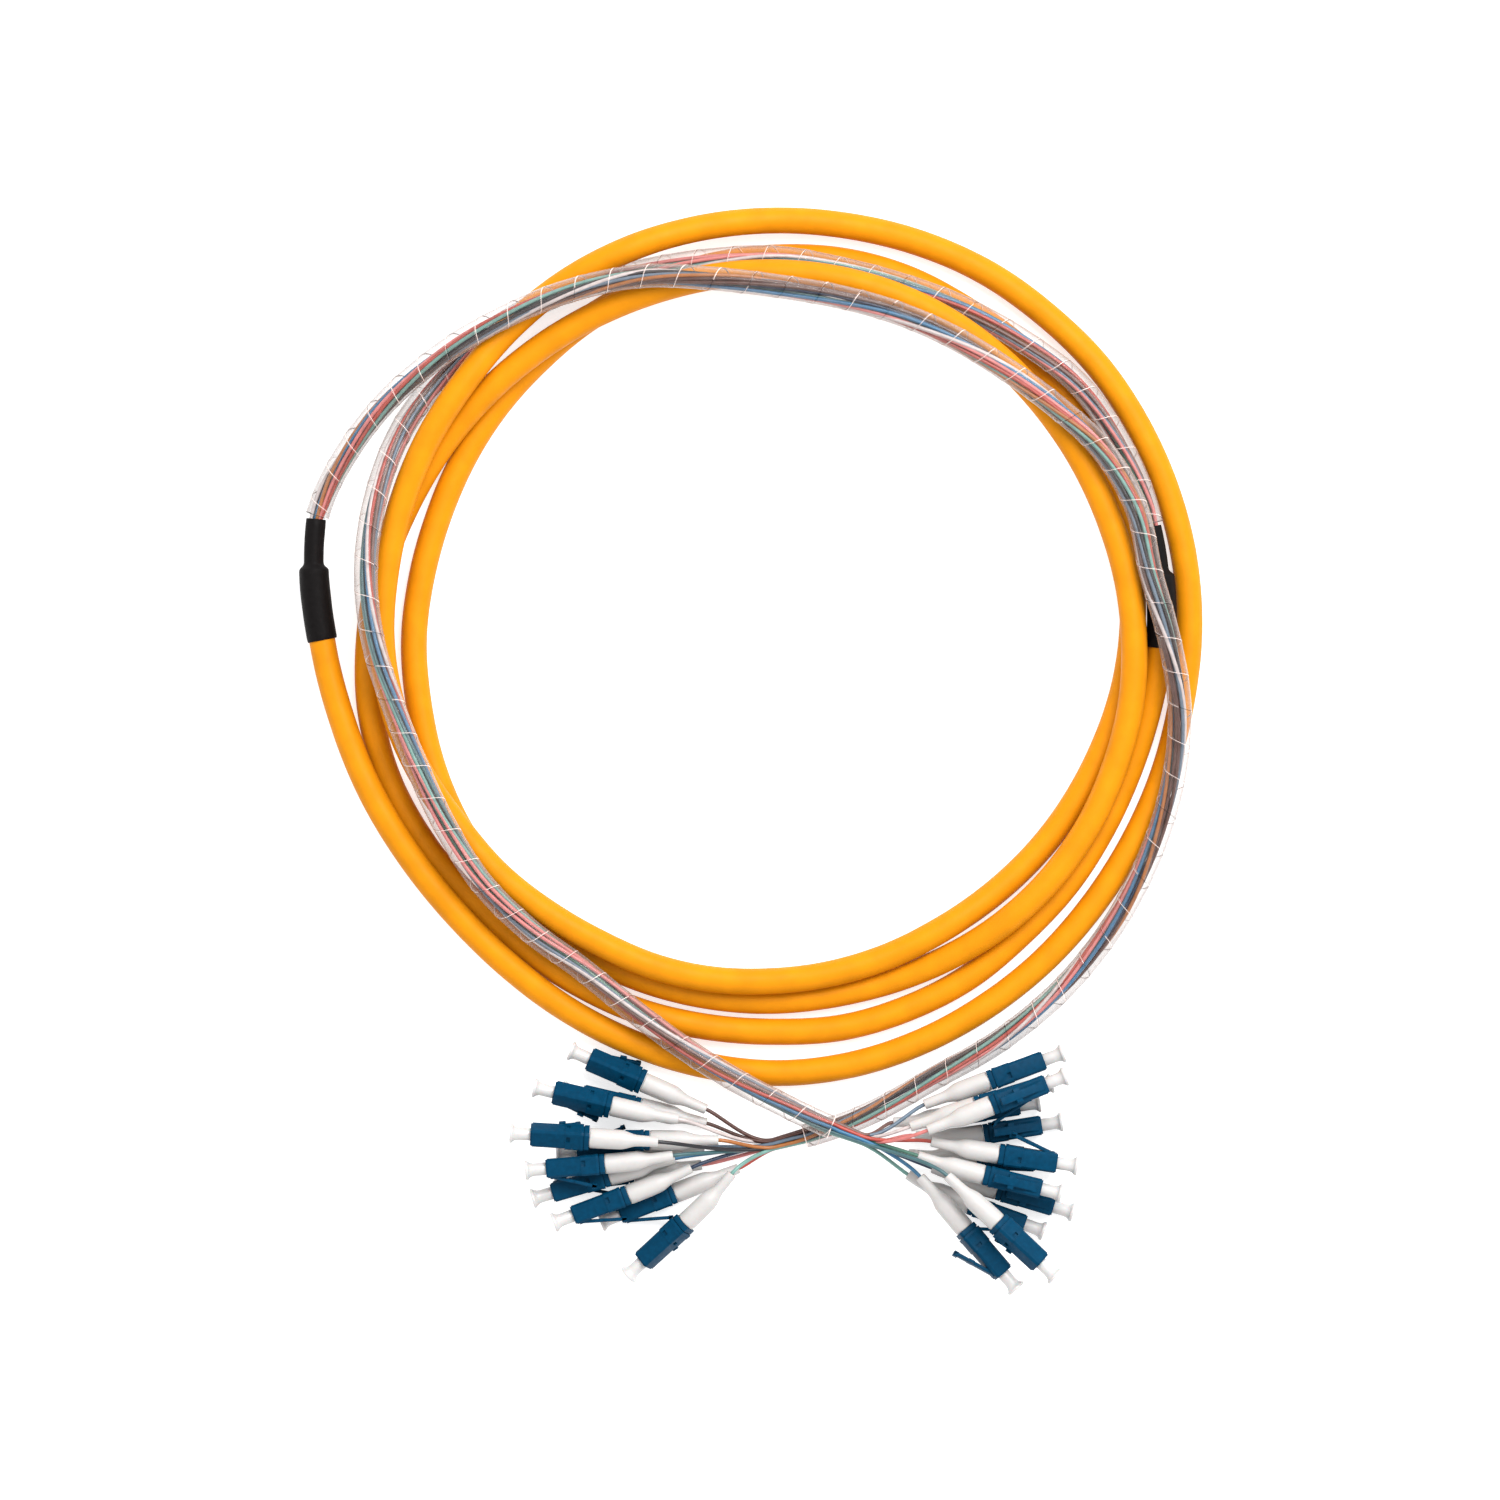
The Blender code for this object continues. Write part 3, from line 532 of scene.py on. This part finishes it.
class StudioSettings(bpy.types.PropertyGroup):
    """Floor, light and camera."""

    view_width: FloatProperty(
        name="View Width", description="Width of floor that the camera takes in",
        default=352.5 * MM, min=0.1, max=2.0, unit="LENGTH")
    camera_height: FloatProperty(
        name="Camera Height", description="Height of the camera above the floor",
        default=6.0, min=1.0, max=20.0, unit="LENGTH")
    floor: FloatVectorProperty(
        name="Floor", description="Colour of the floor",
        default=(0.6, 0.6, 0.6), min=0.0, max=1.0, size=3, subtype="COLOR")
    key_power: FloatProperty(
        name="Key Power", description="Power of the large soft light overhead",
        default=112.0, min=0.0, max=500.0, unit="POWER")
    fill_power: FloatProperty(
        name="Fill Power", description="Power of the softer light at the side",
        default=6.0, min=0.0, max=500.0, unit="POWER")
    surround: FloatProperty(
        name="Surround", description="Brightness of the white surroundings",
        default=1.05, min=0.0, max=3.0)


# Trunk and furcation sleeves


def route_line(rows):
    """Centreline of a route, at the height of the solid cable's axis."""
    return Line(route_path(rows, bpy.context.scene.cable_sizes.jacket_diameter / 2 * FLAT))


def tail_lines(end):
    """Centrelines of a sleeve and of the tail that leaves it."""
    if end == "a":
        return route_line(SLEEVE_A_ROUTE), route_line(TAIL_A_ROUTE)
    return route_line(SLEEVE_B_ROUTE), route_line(TAIL_B_ROUTE)


class TRUNK_OT_jacket(bpy.types.Operator):
    """Build the jacketed trunk along its coil"""

    bl_idname = "trunk_cable.jacket"
    bl_label = "Trunk Jacket"

    def execute(self, context):
        radius = context.scene.cable_sizes.jacket_diameter / 2
        line = route_line(TRUNK_ROUTE)
        tuck, step, sides = 4 * MM, 1.6 * MM, 24
        sway, wrinkle = 0.035 * MM, 0.012 * MM
        count = round((line.length + 2 * tuck) / step)
        start, end = [
            [tail_lines(end)[0].at(tuck * k / 4) for k in range(1, 5)] for end in "ab"]
        whole = Line(start[::-1] + line.spaced(step) + end)
        profile = []
        for i in range(count + 1):
            distance = whole.length * i / count
            point = whole.at(distance)
            swell = sway * ripple(point, 14 * MM) + wrinkle * ripple(point, 3 * MM, 2.0)
            profile.append((distance, radius + swell))
        skin = self.skin(context.scene.cable_colours.jacket)
        jacket = finished("trunk_jacket_skin", loft(turned_rings(whole, profile, sides)), skin)
        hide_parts("trunk_jacket")
        return {"FINISHED"}

    def skin(self, colour):
        """A soft extruded jacket: even colour, broad sheen and a very fine grain."""
        made, tree, shader = finish("orange jacket", colour, 0.5, specular_ior_level=0.07)
        mottle(tree, shader, tone(colour, 0.9), tone(colour, 1.06), 160, 9.0)
        roughen(tree, shader, 260, 0.4, 0.54)
        grain(tree, shader, 2600, 0.012 * MM)
        return made


class TRUNK_OT_sleeves(bpy.types.Operator):
    bl_idname = "trunk_cable.sleeves"
    bl_label = "Furcation Sleeves"

    def execute(self, context):
        sizes = context.scene.cable_sizes
        skin = moulded(
            "black sleeve", context.scene.cable_colours.sleeve, 0.55, 0.02 * MM, 0.2,
            specular_ior_level=0.06)
        sides = 40
        dents, lobes, folds = 0.06 * MM, 0.03 * MM, 0.04 * MM
        for end in "ab":
            line = tail_lines(end)[0]
            profile = self.profile(sizes, line.length)
            rings = turned_rings(line, profile, sides)
            for (d, _), ring in zip(profile, rings):
                centre = line.at(d)
                for k, p in enumerate(ring):
                    angle = math.tau * k / sides
                    uneven = dents * ripple(p, 5 * MM, 4.0) + lobes * math.cos(3 * angle)
                    if d > sizes.sleeve_length:
                        uneven += folds * math.cos(5 * angle + 60 * d)
                    ring[k] = p + (p - centre).normalized() * uneven
            sleeve = finished(f"furcation_sleeve_{end}_shrunk", loft(rings), skin)
            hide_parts(f"furcation_sleeve_{end}")
        line = route_line(TRUNK_ROUTE)
        line.at(0)
        line.spaced(8 * MM)
        return {"FINISHED"}

    def profile(self, sizes, length):
        """A sleeve's wide end, shoulder and neck as (distance, radius) pairs."""
        wide, neck = sizes.sleeve_diameter / 2, sizes.neck_diameter / 2
        shoulder = sizes.sleeve_length
        rows = [
            (2.0 * MM, wide - 0.55 * MM), (0.45 * MM, wide - 0.5 * MM),
            (0.3 * MM, wide - 0.3 * MM), (0.34 * MM, wide - 0.12 * MM),
            (0.6 * MM, wide - 0.02 * MM),
        ]
        rows += [(d * MM, wide) for d in range(1, int(shoulder / MM))]
        rows += [
            (shoulder - 0.3 * MM, wide), (shoulder + 0.1 * MM, wide - 0.1 * MM),
            (shoulder + 0.5 * MM, wide - 0.4 * MM), (shoulder + 0.9 * MM, neck + 0.35 * MM),
            (shoulder + 1.3 * MM, neck + 0.08 * MM), (shoulder + 1.8 * MM, neck),
        ]
        steps = int((length - shoulder - 2.5 * MM) / MM)
        rows += [(shoulder + (2.2 + k) * MM, neck) for k in range(steps)]
        return rows + [
            (length - 0.15 * MM, neck - 0.02 * MM), (length, neck - 0.12 * MM),
            (length - 0.02 * MM, neck - 0.34 * MM), (length - 2.5 * MM, neck - 0.4 * MM),
        ]


# Plugs


def plug_matrix(place, rolled=True):
    """World matrix of a plug from its place, with or without its roll."""
    x, y, lift, heading, pitch, roll = place
    turn = Matrix.Rotation(math.radians(heading), 4, "Z")
    tip = Matrix.Rotation(math.radians(-pitch), 4, "Y")
    spin = Matrix.Rotation(math.radians(roll if rolled else 0), 4, "X")
    front = COIL_CENTRE + Vector((x, y, PLUG_HEIGHT + lift)) * MM
    return Matrix.Translation(front) @ turn @ tip @ spin


def plug_names(end):
    """(name, place) of each plug of an end."""
    places = PLUGS_A if end == "a" else PLUGS_B
    return [(f"{end}{i:02d}", place) for i, place in enumerate(places, 1)]


def boot_line(name, place, sizes):
    """Centreline of a boot, from the housing to the end that the fibre leaves."""
    length, straight, steps = sizes.boot_length, 2 * MM, 24
    sway = BOOT_SWAY.get(name, 0.0) * MM
    matrix = plug_matrix(place, rolled=False)
    points = []
    for k in range(steps + 1):
        d = length * k / steps
        bend = sway * max(0.0, (d - straight) / (length - straight)) ** 2
        points.append(matrix @ Vector((-sizes.housing_length - d, bend, 0)))
    return Line(points)


def bar(start, end, half, chamfer):
    """A square bar along the plug's axis, as cut_or_join takes it."""
    return (start, -half, -half), (end, half, half), chamfer, Matrix.Identity(4)


def block(form, low, high, chamfer):
    """Add a box between two corners in mm, with its long edges cut back."""
    made = bmesh.ops.create_cube(form, size=1.0)["verts"]
    low, high = Vector(low) * MM, Vector(high) * MM
    bmesh.ops.scale(form, vec=high - low, verts=made)
    bmesh.ops.translate(form, vec=(high + low) / 2, verts=made)
    if chamfer:
        edges = {e for v in made for e in v.link_edges}
        runs = [e for e in edges if abs(e.verts[0].co.x - e.verts[1].co.x) > 0.1 * MM]
        bmesh.ops.bevel(
            form, geom=runs, offset=chamfer * MM, segments=1, affect="EDGES", clamp_overlap=True)


def loose(name, form):
    """A working object that is not a piece."""
    mesh = bpy.data.meshes.new(name)
    form.to_mesh(mesh)
    form.free()
    made = bpy.data.objects.new(name, mesh)
    bpy.context.scene.collection.objects.link(made)
    return made


def cut_or_join(target, operation, solids):
    """Cut or join blocks, each given as (low corner, high corner, chamfer, matrix) in mm."""
    for low, high, chamfer, matrix in solids:
        form = bmesh.new()
        block(form, low, high, chamfer)
        tool = loose("tool", form)
        tool.matrix_world = matrix
        boolean = target.modifiers.new("cut", "BOOLEAN")
        boolean.operation = operation
        boolean.solver = "EXACT"
        boolean.object = tool
        target.data = evaluated(target)
        target.modifiers.clear()
        bpy.data.objects.remove(tool, do_unlink=True)


def housing_mesh(sizes, latch_angle):
    """The plug housing with its collar, windows, bore and latch, front face at the origin."""
    body, collar = sizes.body_width / 2 / MM, sizes.collar_width / 2 / MM
    rear, arm = -sizes.housing_length / MM, -sizes.latch_length / MM
    form = bmesh.new()
    block(form, (rear + 1.5, -body, -body), (-0.35, body, body), 0.5)
    housing = loose("housing", form)
    still = Matrix.Identity(4)
    root = Matrix.Translation((-1.5 * MM, 0, (body + 0.15) * MM))
    latch = root @ Matrix.Rotation(latch_angle, 4, "Y")
    cut_or_join(housing, "UNION", [
        bar(-0.6, 0, body - 0.22, 0.4),
        bar(rear + 1.35, rear + 5.6, collar - 0.08, 0.48),
        bar(rear + 1.35, rear + 2.1, collar, 0.5),
        bar(rear + 1.1, rear + 1.6, collar - 0.4, 0.4),
        bar(rear, rear + 1.15, collar - 0.16, 0.5),
        ((-3.4, -1.25, body - 0.5), (-0.9, 1.25, body + 0.28), 0.2, still),
        ((arm, -1.0, -0.75), (0, 1.0, 0.05), 0.15, latch),
        ((-6.7, -1.75, -0.7), (-5.2, 1.75, -0.05), 0.12, latch),
        ((arm, -1.0, -0.85), (arm + 1.1, 1.0, 0.35), 0.2, latch),
    ])
    cuts = []
    for turn in (0, 180, 270):
        spin = Matrix.Rotation(math.radians(turn), 4, "X")
        cuts.append(((-9.3, collar - 0.6, -0.2), (-8.4, collar + 1, 1.2), 0.0, spin))
    cuts.append(bar(-5.0, 1.0, 1.5, 0.9))
    cut_or_join(housing, "DIFFERENCE", cuts)
    bevel = housing.modifiers.new("edges", "BEVEL")
    bevel.width = 0.09 * MM
    bevel.segments = 2
    bevel.limit_method = "ANGLE"
    bevel.angle_limit = math.radians(25)
    mesh = evaluated(housing)
    bpy.data.objects.remove(housing, do_unlink=True)
    return mesh


class TRUNK_OT_plugs(bpy.types.Operator):
    """Build the plugs: housings with latches, bend-relief boots and dust caps"""

    bl_idname = "trunk_cable.plugs"
    bl_label = "Plugs"

    def execute(self, context):
        sizes, colours = context.scene.plug_sizes, context.scene.cable_colours
        shell = moulded(
            "blue housing", colours.housing, 0.42, 0.01 * MM, 0.14, specular_ior_level=0.05)
        rubber = moulded(
            "white boot", colours.boot, 0.5, 0.008 * MM, 0.02,
            subsurface_weight=0.15, subsurface_scale=0.6 * MM)
        clear = moulded(
            "translucent cap", colours.cap, 0.34, 0.004 * MM, 0.02,
            subsurface_weight=0.15, subsurface_scale=0.6 * MM)
        usual = housing_mesh(sizes, sizes.latch_angle)
        sprung = housing_mesh(sizes, sizes.latch_angle + SPRUNG_BY)
        for end in "ab":
            for name, place in plug_names(end):
                mesh = (sprung if name == SPRUNG_PLUG else usual).copy()
                mesh.name = f"plug_housing_{name}"
                mesh.transform(plug_matrix(place))
                housing = placed(f"plug_housing_{name}", mesh, [shell], 30)
                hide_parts(f"lc_housing_{name}")
                boot = self.boot(name, place, sizes, rubber)
                cap = self.cap(name, place, sizes, clear)
                for piece in (boot, cap):
                    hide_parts(f"lc_core_{name}")
        return {"FINISHED"}

    def boot(self, name, place, sizes, skin):
        """A boot: a straight barrel, a taper and a neck, bent as it lies."""
        drawn_length = 16.2
        r, k = sizes.boot_diameter / 2, sizes.boot_length / drawn_length
        profile = [
            (0.05 * MM, r - 0.7 * MM), (0.06 * MM, r - 0.22 * MM), (0.2 * MM, r - 0.06 * MM),
            (0.45 * MM, r), (2.5 * k, r), (5.0 * k, r - 0.03 * MM), (7.2 * k, r - 0.08 * MM),
            (8.0 * k, r - 0.16 * MM), (8.8 * k, r - 0.36 * MM), (9.6 * k, r - 0.64 * MM),
            (10.4 * k, r - 0.88 * MM), (11.1 * k, r - 1.0 * MM), (11.8 * k, r - 1.05 * MM),
            (14.0 * k, r - 1.12 * MM), (15.9 * k, r - 1.18 * MM), (16.12 * k, r - 1.23 * MM),
            (16.2 * k, r - 1.36 * MM), (16.2 * k, r - 1.78 * MM), (15.2 * k, r - 1.84 * MM),
        ]
        rings = turned_rings(boot_line(name, place, sizes), profile, PLUG_SIDES)
        return finished(f"plug_boot_{name}", loft(rings), skin)

    def cap(self, name, place, sizes, skin):
        """A dust cap: a short tube with a flared rim and a hollow end."""
        inside, rim = 4 * MM, sizes.cap_diameter / 2
        end = inside + sizes.cap_length
        matrix = plug_matrix(place)
        line = Line([matrix @ Vector((x * MM - inside, 0, 0)) for x in range(11)])
        profile = [
            (1.0 * MM, 1.4 * MM), (3.9 * MM, 1.42 * MM), (4.1 * MM, 1.5 * MM),
            (6.6 * MM, 1.5 * MM), (7.3 * MM, 1.58 * MM), (7.8 * MM, 1.78 * MM),
            (8.15 * MM, 2.08 * MM), (end - 0.66 * MM, rim - 0.07 * MM), (end - 0.5 * MM, rim),
            (end - 0.14 * MM, rim), (end, rim - 0.12 * MM), (end, rim - 0.6 * MM),
            (end - 0.3 * MM, rim - 0.85 * MM), (end - 1.6 * MM, rim - 1.1 * MM),
        ]
        return finished(f"plug_cap_{name}", loft(turned_rings(line, profile, PLUG_SIDES)), skin)


# Fibres and wraps


class TRUNK_OT_fibres(bpy.types.Operator):
    """Build the coloured fibres of both tails, from their sleeve to their plugs"""

    bl_idname = "trunk_cable.fibres"
    bl_label = "Fibres"

    def execute(self, context):
        sizes, plugs = context.scene.cable_sizes, context.scene.plug_sizes
        skins = {}
        for end in "ab":
            sleeve, tail = tail_lines(end)
            for slot, number in enumerate(BUNDLE_ORDER[end]):
                name, place = plug_names(end)[number - 1]
                colour = FIBRE_COLOURS[end][number - 1]
                if colour not in skins:
                    skins[colour] = self.skin(colour)
                path = self.path(sleeve, tail, slot, name, place, sizes, plugs)
                curve = bpy.data.curves.new(f"fibre_{name}", "CURVE")
                curve.dimensions = "3D"
                curve.bevel_depth = sizes.fibre_diameter / 2
                curve.bevel_resolution = 2
                curve.use_fill_caps = True
                spline = curve.splines.new("POLY")
                spline.points.add(len(path) - 1)
                for point, spot in zip(spline.points, path):
                    point.co = (*spot, 1.0)
                spline.use_smooth = True
                curve.materials.append(skins[colour])
                fibre = bpy.data.objects.new(f"fibre_{name}", curve)
                context.scene.collection.objects.link(fibre)
                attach(fibre, "root")
                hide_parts(f"fibre_bundle_{end}")
                round(Line(path).length, 3)
        return {"FINISHED"}

    def path(self, sleeve, tail, slot, name, place, sizes, plugs):
        """A fibre's path: out of the sleeve, along the tail with its lay, and over to its plug."""
        strays = name in STRAY_TURNS
        turns = STRAY_TURNS.get(name, BUNDLE_TURNS)
        if slot < OUTER_FIBRES:
            seat, ring = slot / OUTER_FIBRES, sizes.bundle_radius
        else:
            seat = (slot - OUTER_FIBRES) / INNER_FIBRES
            ring = INNER_RING * sizes.bundle_radius
        if strays:
            ring = sizes.bundle_radius + STRAY_RISE * sizes.fibre_diameter
        base = math.tau * (seat - turns)
        points = []
        for k in range(4):
            d = sleeve.length - FIBRE_ROOT + k * 1.5 * MM
            points.append(sleeve.off(d, base, ROOT_SQUEEZE * ring))
        count = round(tail.length / (2.0 * MM))
        for k in range(count + 1):
            d = tail.length * k / count
            settle = min(1.0, ROOT_SQUEEZE + d / SETTLE_RUN)
            drift = ripple(Vector((d, slot * 0.7, 0)), DRIFT_RUN, 1.0 + slot)
            angle = base + turns * math.tau * d / tail.length + DRIFT * drift
            swell = STRAY_SWELL if strays else SWELL
            radius = ring * settle * (1 + swell * ripple(Vector((d, slot, 0)), SWELL_RUN, 7.0))
            lean = BUNDLE_LEAN * min(1.0, d / SETTLE_RUN, (tail.length - d) / SETTLE_RUN)
            inward = (COIL_CENTRE - tail.at(d)).to_2d().normalized() * lean
            points.append(tail.off(d, angle, radius) + inward.to_3d())
        base += turns * math.tau
        for k in range(1, 4):
            d = tail.length + LOOSE_STEP * k
            points.append(tail.off(d, base, ring * (1 - LOOSE_GATHER * k)))
        start = points[-1]
        leave = (points[-1] - points[-3]).normalized()
        boot = boot_line(name, place, plugs)
        end = boot.at(boot.length)
        into = (boot.at(boot.length - MM) - end).normalized()
        span, steps = (end - start).length, 24
        for k in range(1, steps + 1):
            points.append(
                hermite(start, leave * span * LEAVING, end, into * span * ENTERING, k / steps))
        points.append(boot.at(boot.length - BOOT_REACH))
        return points

    def skin(self, colour):
        """A smooth buffered fibre."""
        tint = TINTS[colour]
        made, tree, shader = finish(f"{colour} fibre", tint, 0.38, specular_ior_level=0.45)
        mottle(tree, shader, tone(tint, 0.85), tone(tint, 1.12), 500)
        roughen(tree, shader, 900, 0.3, 0.46)
        return made


class TRUNK_OT_wraps(bpy.types.Operator):
    """Build the clear spiral wraps over both tails"""

    bl_idname = "trunk_cable.wraps"
    bl_label = "Spiral Wraps"

    def execute(self, context):
        sizes, colours = context.scene.cable_sizes, context.scene.cable_colours
        film = film_material("clear film", colours.film, 0.04, 0.09, 0.2)
        rim = film_material("film edge", tone(colours.film, 2.5), 0.65, 0.9, 0.3)
        lining = film_material("film inside", colours.film, 0.01, 0.03, 0.2, 0.05)
        # The slit shade is painted shadow: dark, nearly opaque film that stands in for the shadowed
        # gap under a gaping slit.
        shade = film_material("slit shade", (0.012, 0.009, 0.008), 0.75, 0.9, 0.4)
        for end in "ab":
            whole = tail_lines(end)[1]
            line = Line(whole.spaced(MM)[1:])
            skins = [film, rim, shade, lining]
            wrap = self.band(f"spiral_wrap_{end}_film", line, sizes, skins)
            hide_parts(f"spiral_wrap_{end}")
            line.at(0)
            line.spaced(6 * MM)
        return {"FINISHED"}

    def band(self, name, line, sizes, skins):
        """A band of film wound on the tail, open at the slit between its turns.

        Its skins are the outer face, the rim, a dark strip of painted shadow beside a gaping slit,
        and the inner face.
        """
        per_turn = 30
        across = (0.0, 0.016, 0.2, 0.5, 0.8, 0.97, 1.0)
        lean, gape, painted_shadow_from = 0.25, 5, 2.2
        inset, curl, sag = 0.1 * MM, 0.07 * MM, 0.05 * MM
        radius, pitch = sizes.wrap_diameter / 2, sizes.slit_pitch
        first, last = -per_turn, int(line.length / pitch * per_turn) + 2
        form = bmesh.new()
        columns, gaping = [], []
        for i in range(first, last):
            angle = math.tau * i / per_turn
            seam = pitch / math.tau * (angle - lean * math.sin(angle - math.pi / 2))
            middle = line.off(min(max(seam, 0), line.length), angle, radius)
            gap = sizes.slit_width * (1 + gape * max(0, ripple(middle, 7 * MM, 5.0)))
            # Where the slit gapes this wide, its edge strip gets painted shadow.
            gaping.append(gap > painted_shadow_from * sizes.slit_width)
            column = []
            for v in across:
                d = min(max(seam + gap / 2 + v * (pitch - gap), 0), line.length)
                edge = curl * abs(2 * v - 1) ** 6
                wave = sag * ripple(line.off(d, angle, radius), 9 * MM, 3.0)
                column.append(form.verts.new(line.off(d, angle, radius - inset + edge + wave)))
            columns.append(column)
        for a, b, gapes in zip(columns, columns[1:], gaping):
            for k in range(len(across) - 1):
                face = form.faces.new((a[k], a[k + 1], b[k + 1], b[k]))
                # The first strip along the slit takes the whiter film edge, or painted shadow where
                # the slit gapes.
                if k == 0:
                    face.material_index = 2 if gapes else 1
        bmesh.ops.remove_doubles(form, verts=form.verts, dist=0.001 * MM)
        bmesh.ops.dissolve_degenerate(form, edges=form.edges, dist=0.01 * MM)
        sheet = loose("sheet", form)
        for skin in skins:
            sheet.data.materials.append(skin)
        wall = sheet.modifiers.new("wall", "SOLIDIFY")
        wall.thickness = sizes.film_thickness
        wall.offset = -1.0
        wall.use_rim = True
        wall.material_offset = 3
        wall.material_offset_rim = 1
        mesh = evaluated(sheet)
        mesh.name = name
        bpy.data.objects.remove(sheet, do_unlink=True)
        return placed(name, mesh, [], 60)


# Stage


class TRUNK_OT_stage(bpy.types.Operator):
    """Set up the pale floor, the soft light and the camera over the coil"""

    bl_idname = "trunk_cable.stage"
    bl_label = "Stage"

    def execute(self, context):
        settings, scene = context.scene.studio_settings, context.scene
        form = bmesh.new()
        bmesh.ops.create_grid(form, x_segments=1, y_segments=1, size=FLOOR_HALF)
        mesh = bpy.data.meshes.new("floor")
        form.to_mesh(mesh)
        form.free()
        floor = bpy.data.objects.new("floor", mesh)
        scene.collection.objects.link(floor)
        floor.location.z = FLOOR_HEIGHT
        pale = finish(
            "pale floor", settings.floor, 0.8, specular_ior_level=0.2,
            emission_color=(1.0, 1.0, 1.0, 1.0), emission_strength=0.65,
        )[0]
        mesh.materials.append(pale)

        self.lamp("key light", place=(0.9, 1.3, 2.2), size=1.8, power=settings.key_power)
        self.lamp("fill light", place=(-1.6, 0.2, 2.1), size=1.6, power=settings.fill_power)
        world = bpy.data.worlds.new("white surroundings")
        world.use_nodes = True
        sky = world.node_tree.nodes["Background"]
        sky.inputs["Color"].default_value = (1.0, 1.0, 1.0, 1.0)
        sky.inputs["Strength"].default_value = settings.surround
        scene.world = world
        scene.view_settings.view_transform = "Standard"

        data = bpy.data.cameras.new("camera")
        data.sensor_width = 36.0
        camera = bpy.data.objects.new("camera", data)
        scene.collection.objects.link(camera)
        above = settings.camera_height - FOCUS_HEIGHT
        data.lens = data.sensor_width * above / settings.view_width
        data.clip_end = 100.0
        camera.location = (0.0, VIEW_OFFSET, settings.camera_height)
        scene.camera = camera
        return {"FINISHED"}

    def lamp(self, name, place, size, power):
        """A square soft light that points at the coil."""
        data = bpy.data.lights.new(name, "AREA")
        data.shape = "SQUARE"
        data.size = size
        data.energy = power
        lamp = bpy.data.objects.new(name, data)
        bpy.context.scene.collection.objects.link(lamp)
        lamp.location = place
        lamp.rotation_euler = (-Vector(place)).to_track_quat("-Z", "Y").to_euler()
        lamp.visible_camera = False


class TRUNK_PT_panel(bpy.types.Panel):
    """Lists the steps that build the cable, and its settings"""

    bl_idname = "TRUNK_PT_panel"
    bl_label = "Fibre Optic Trunk Cable"
    bl_space_type = "VIEW_3D"
    bl_region_type = "UI"
    bl_category = "Trunk Cable"

    def draw(self, context):
        layout = self.layout
        for operator in OPERATORS:
            layout.operator(operator.bl_idname)
        for group in GROUPS:
            box = layout.box()
            settings = getattr(context.scene, group)
            for key in settings.bl_rna.properties.keys():
                if key not in ("rna_type", "name"):
                    box.prop(settings, key)


OPERATORS = (
    TRUNK_OT_jacket, TRUNK_OT_sleeves, TRUNK_OT_plugs,
    TRUNK_OT_fibres, TRUNK_OT_wraps, TRUNK_OT_stage,
)
GROUPS = {
    "cable_sizes": TrunkCableSizes,
    "plug_sizes": PlugSizes,
    "cable_colours": CableColours,
    "studio_settings": StudioSettings,
}


def register():
    """Add the classes and their settings to Blender."""
    for item in (*GROUPS.values(), *OPERATORS, TRUNK_PT_panel):
        bpy.utils.register_class(item)
    for key, group in GROUPS.items():
        setattr(bpy.types.Scene, key, PointerProperty(type=group))


def unregister():
    """Take the classes and their settings out again."""
    for key in GROUPS:
        delattr(bpy.types.Scene, key)
    for item in (TRUNK_PT_panel, *reversed(OPERATORS), *reversed(GROUPS.values())):
        bpy.utils.unregister_class(item)


def main():
    """Build the cable and its stage."""
    register()
    bpy.ops.trunk_cable.jacket()
    bpy.ops.trunk_cable.sleeves()
    bpy.ops.trunk_cable.plugs()
    bpy.ops.trunk_cable.fibres()
    bpy.ops.trunk_cable.wraps()
    bpy.ops.trunk_cable.stage()
    bpy.context.view_layer.update()


if __name__ == "__main__":
    main()
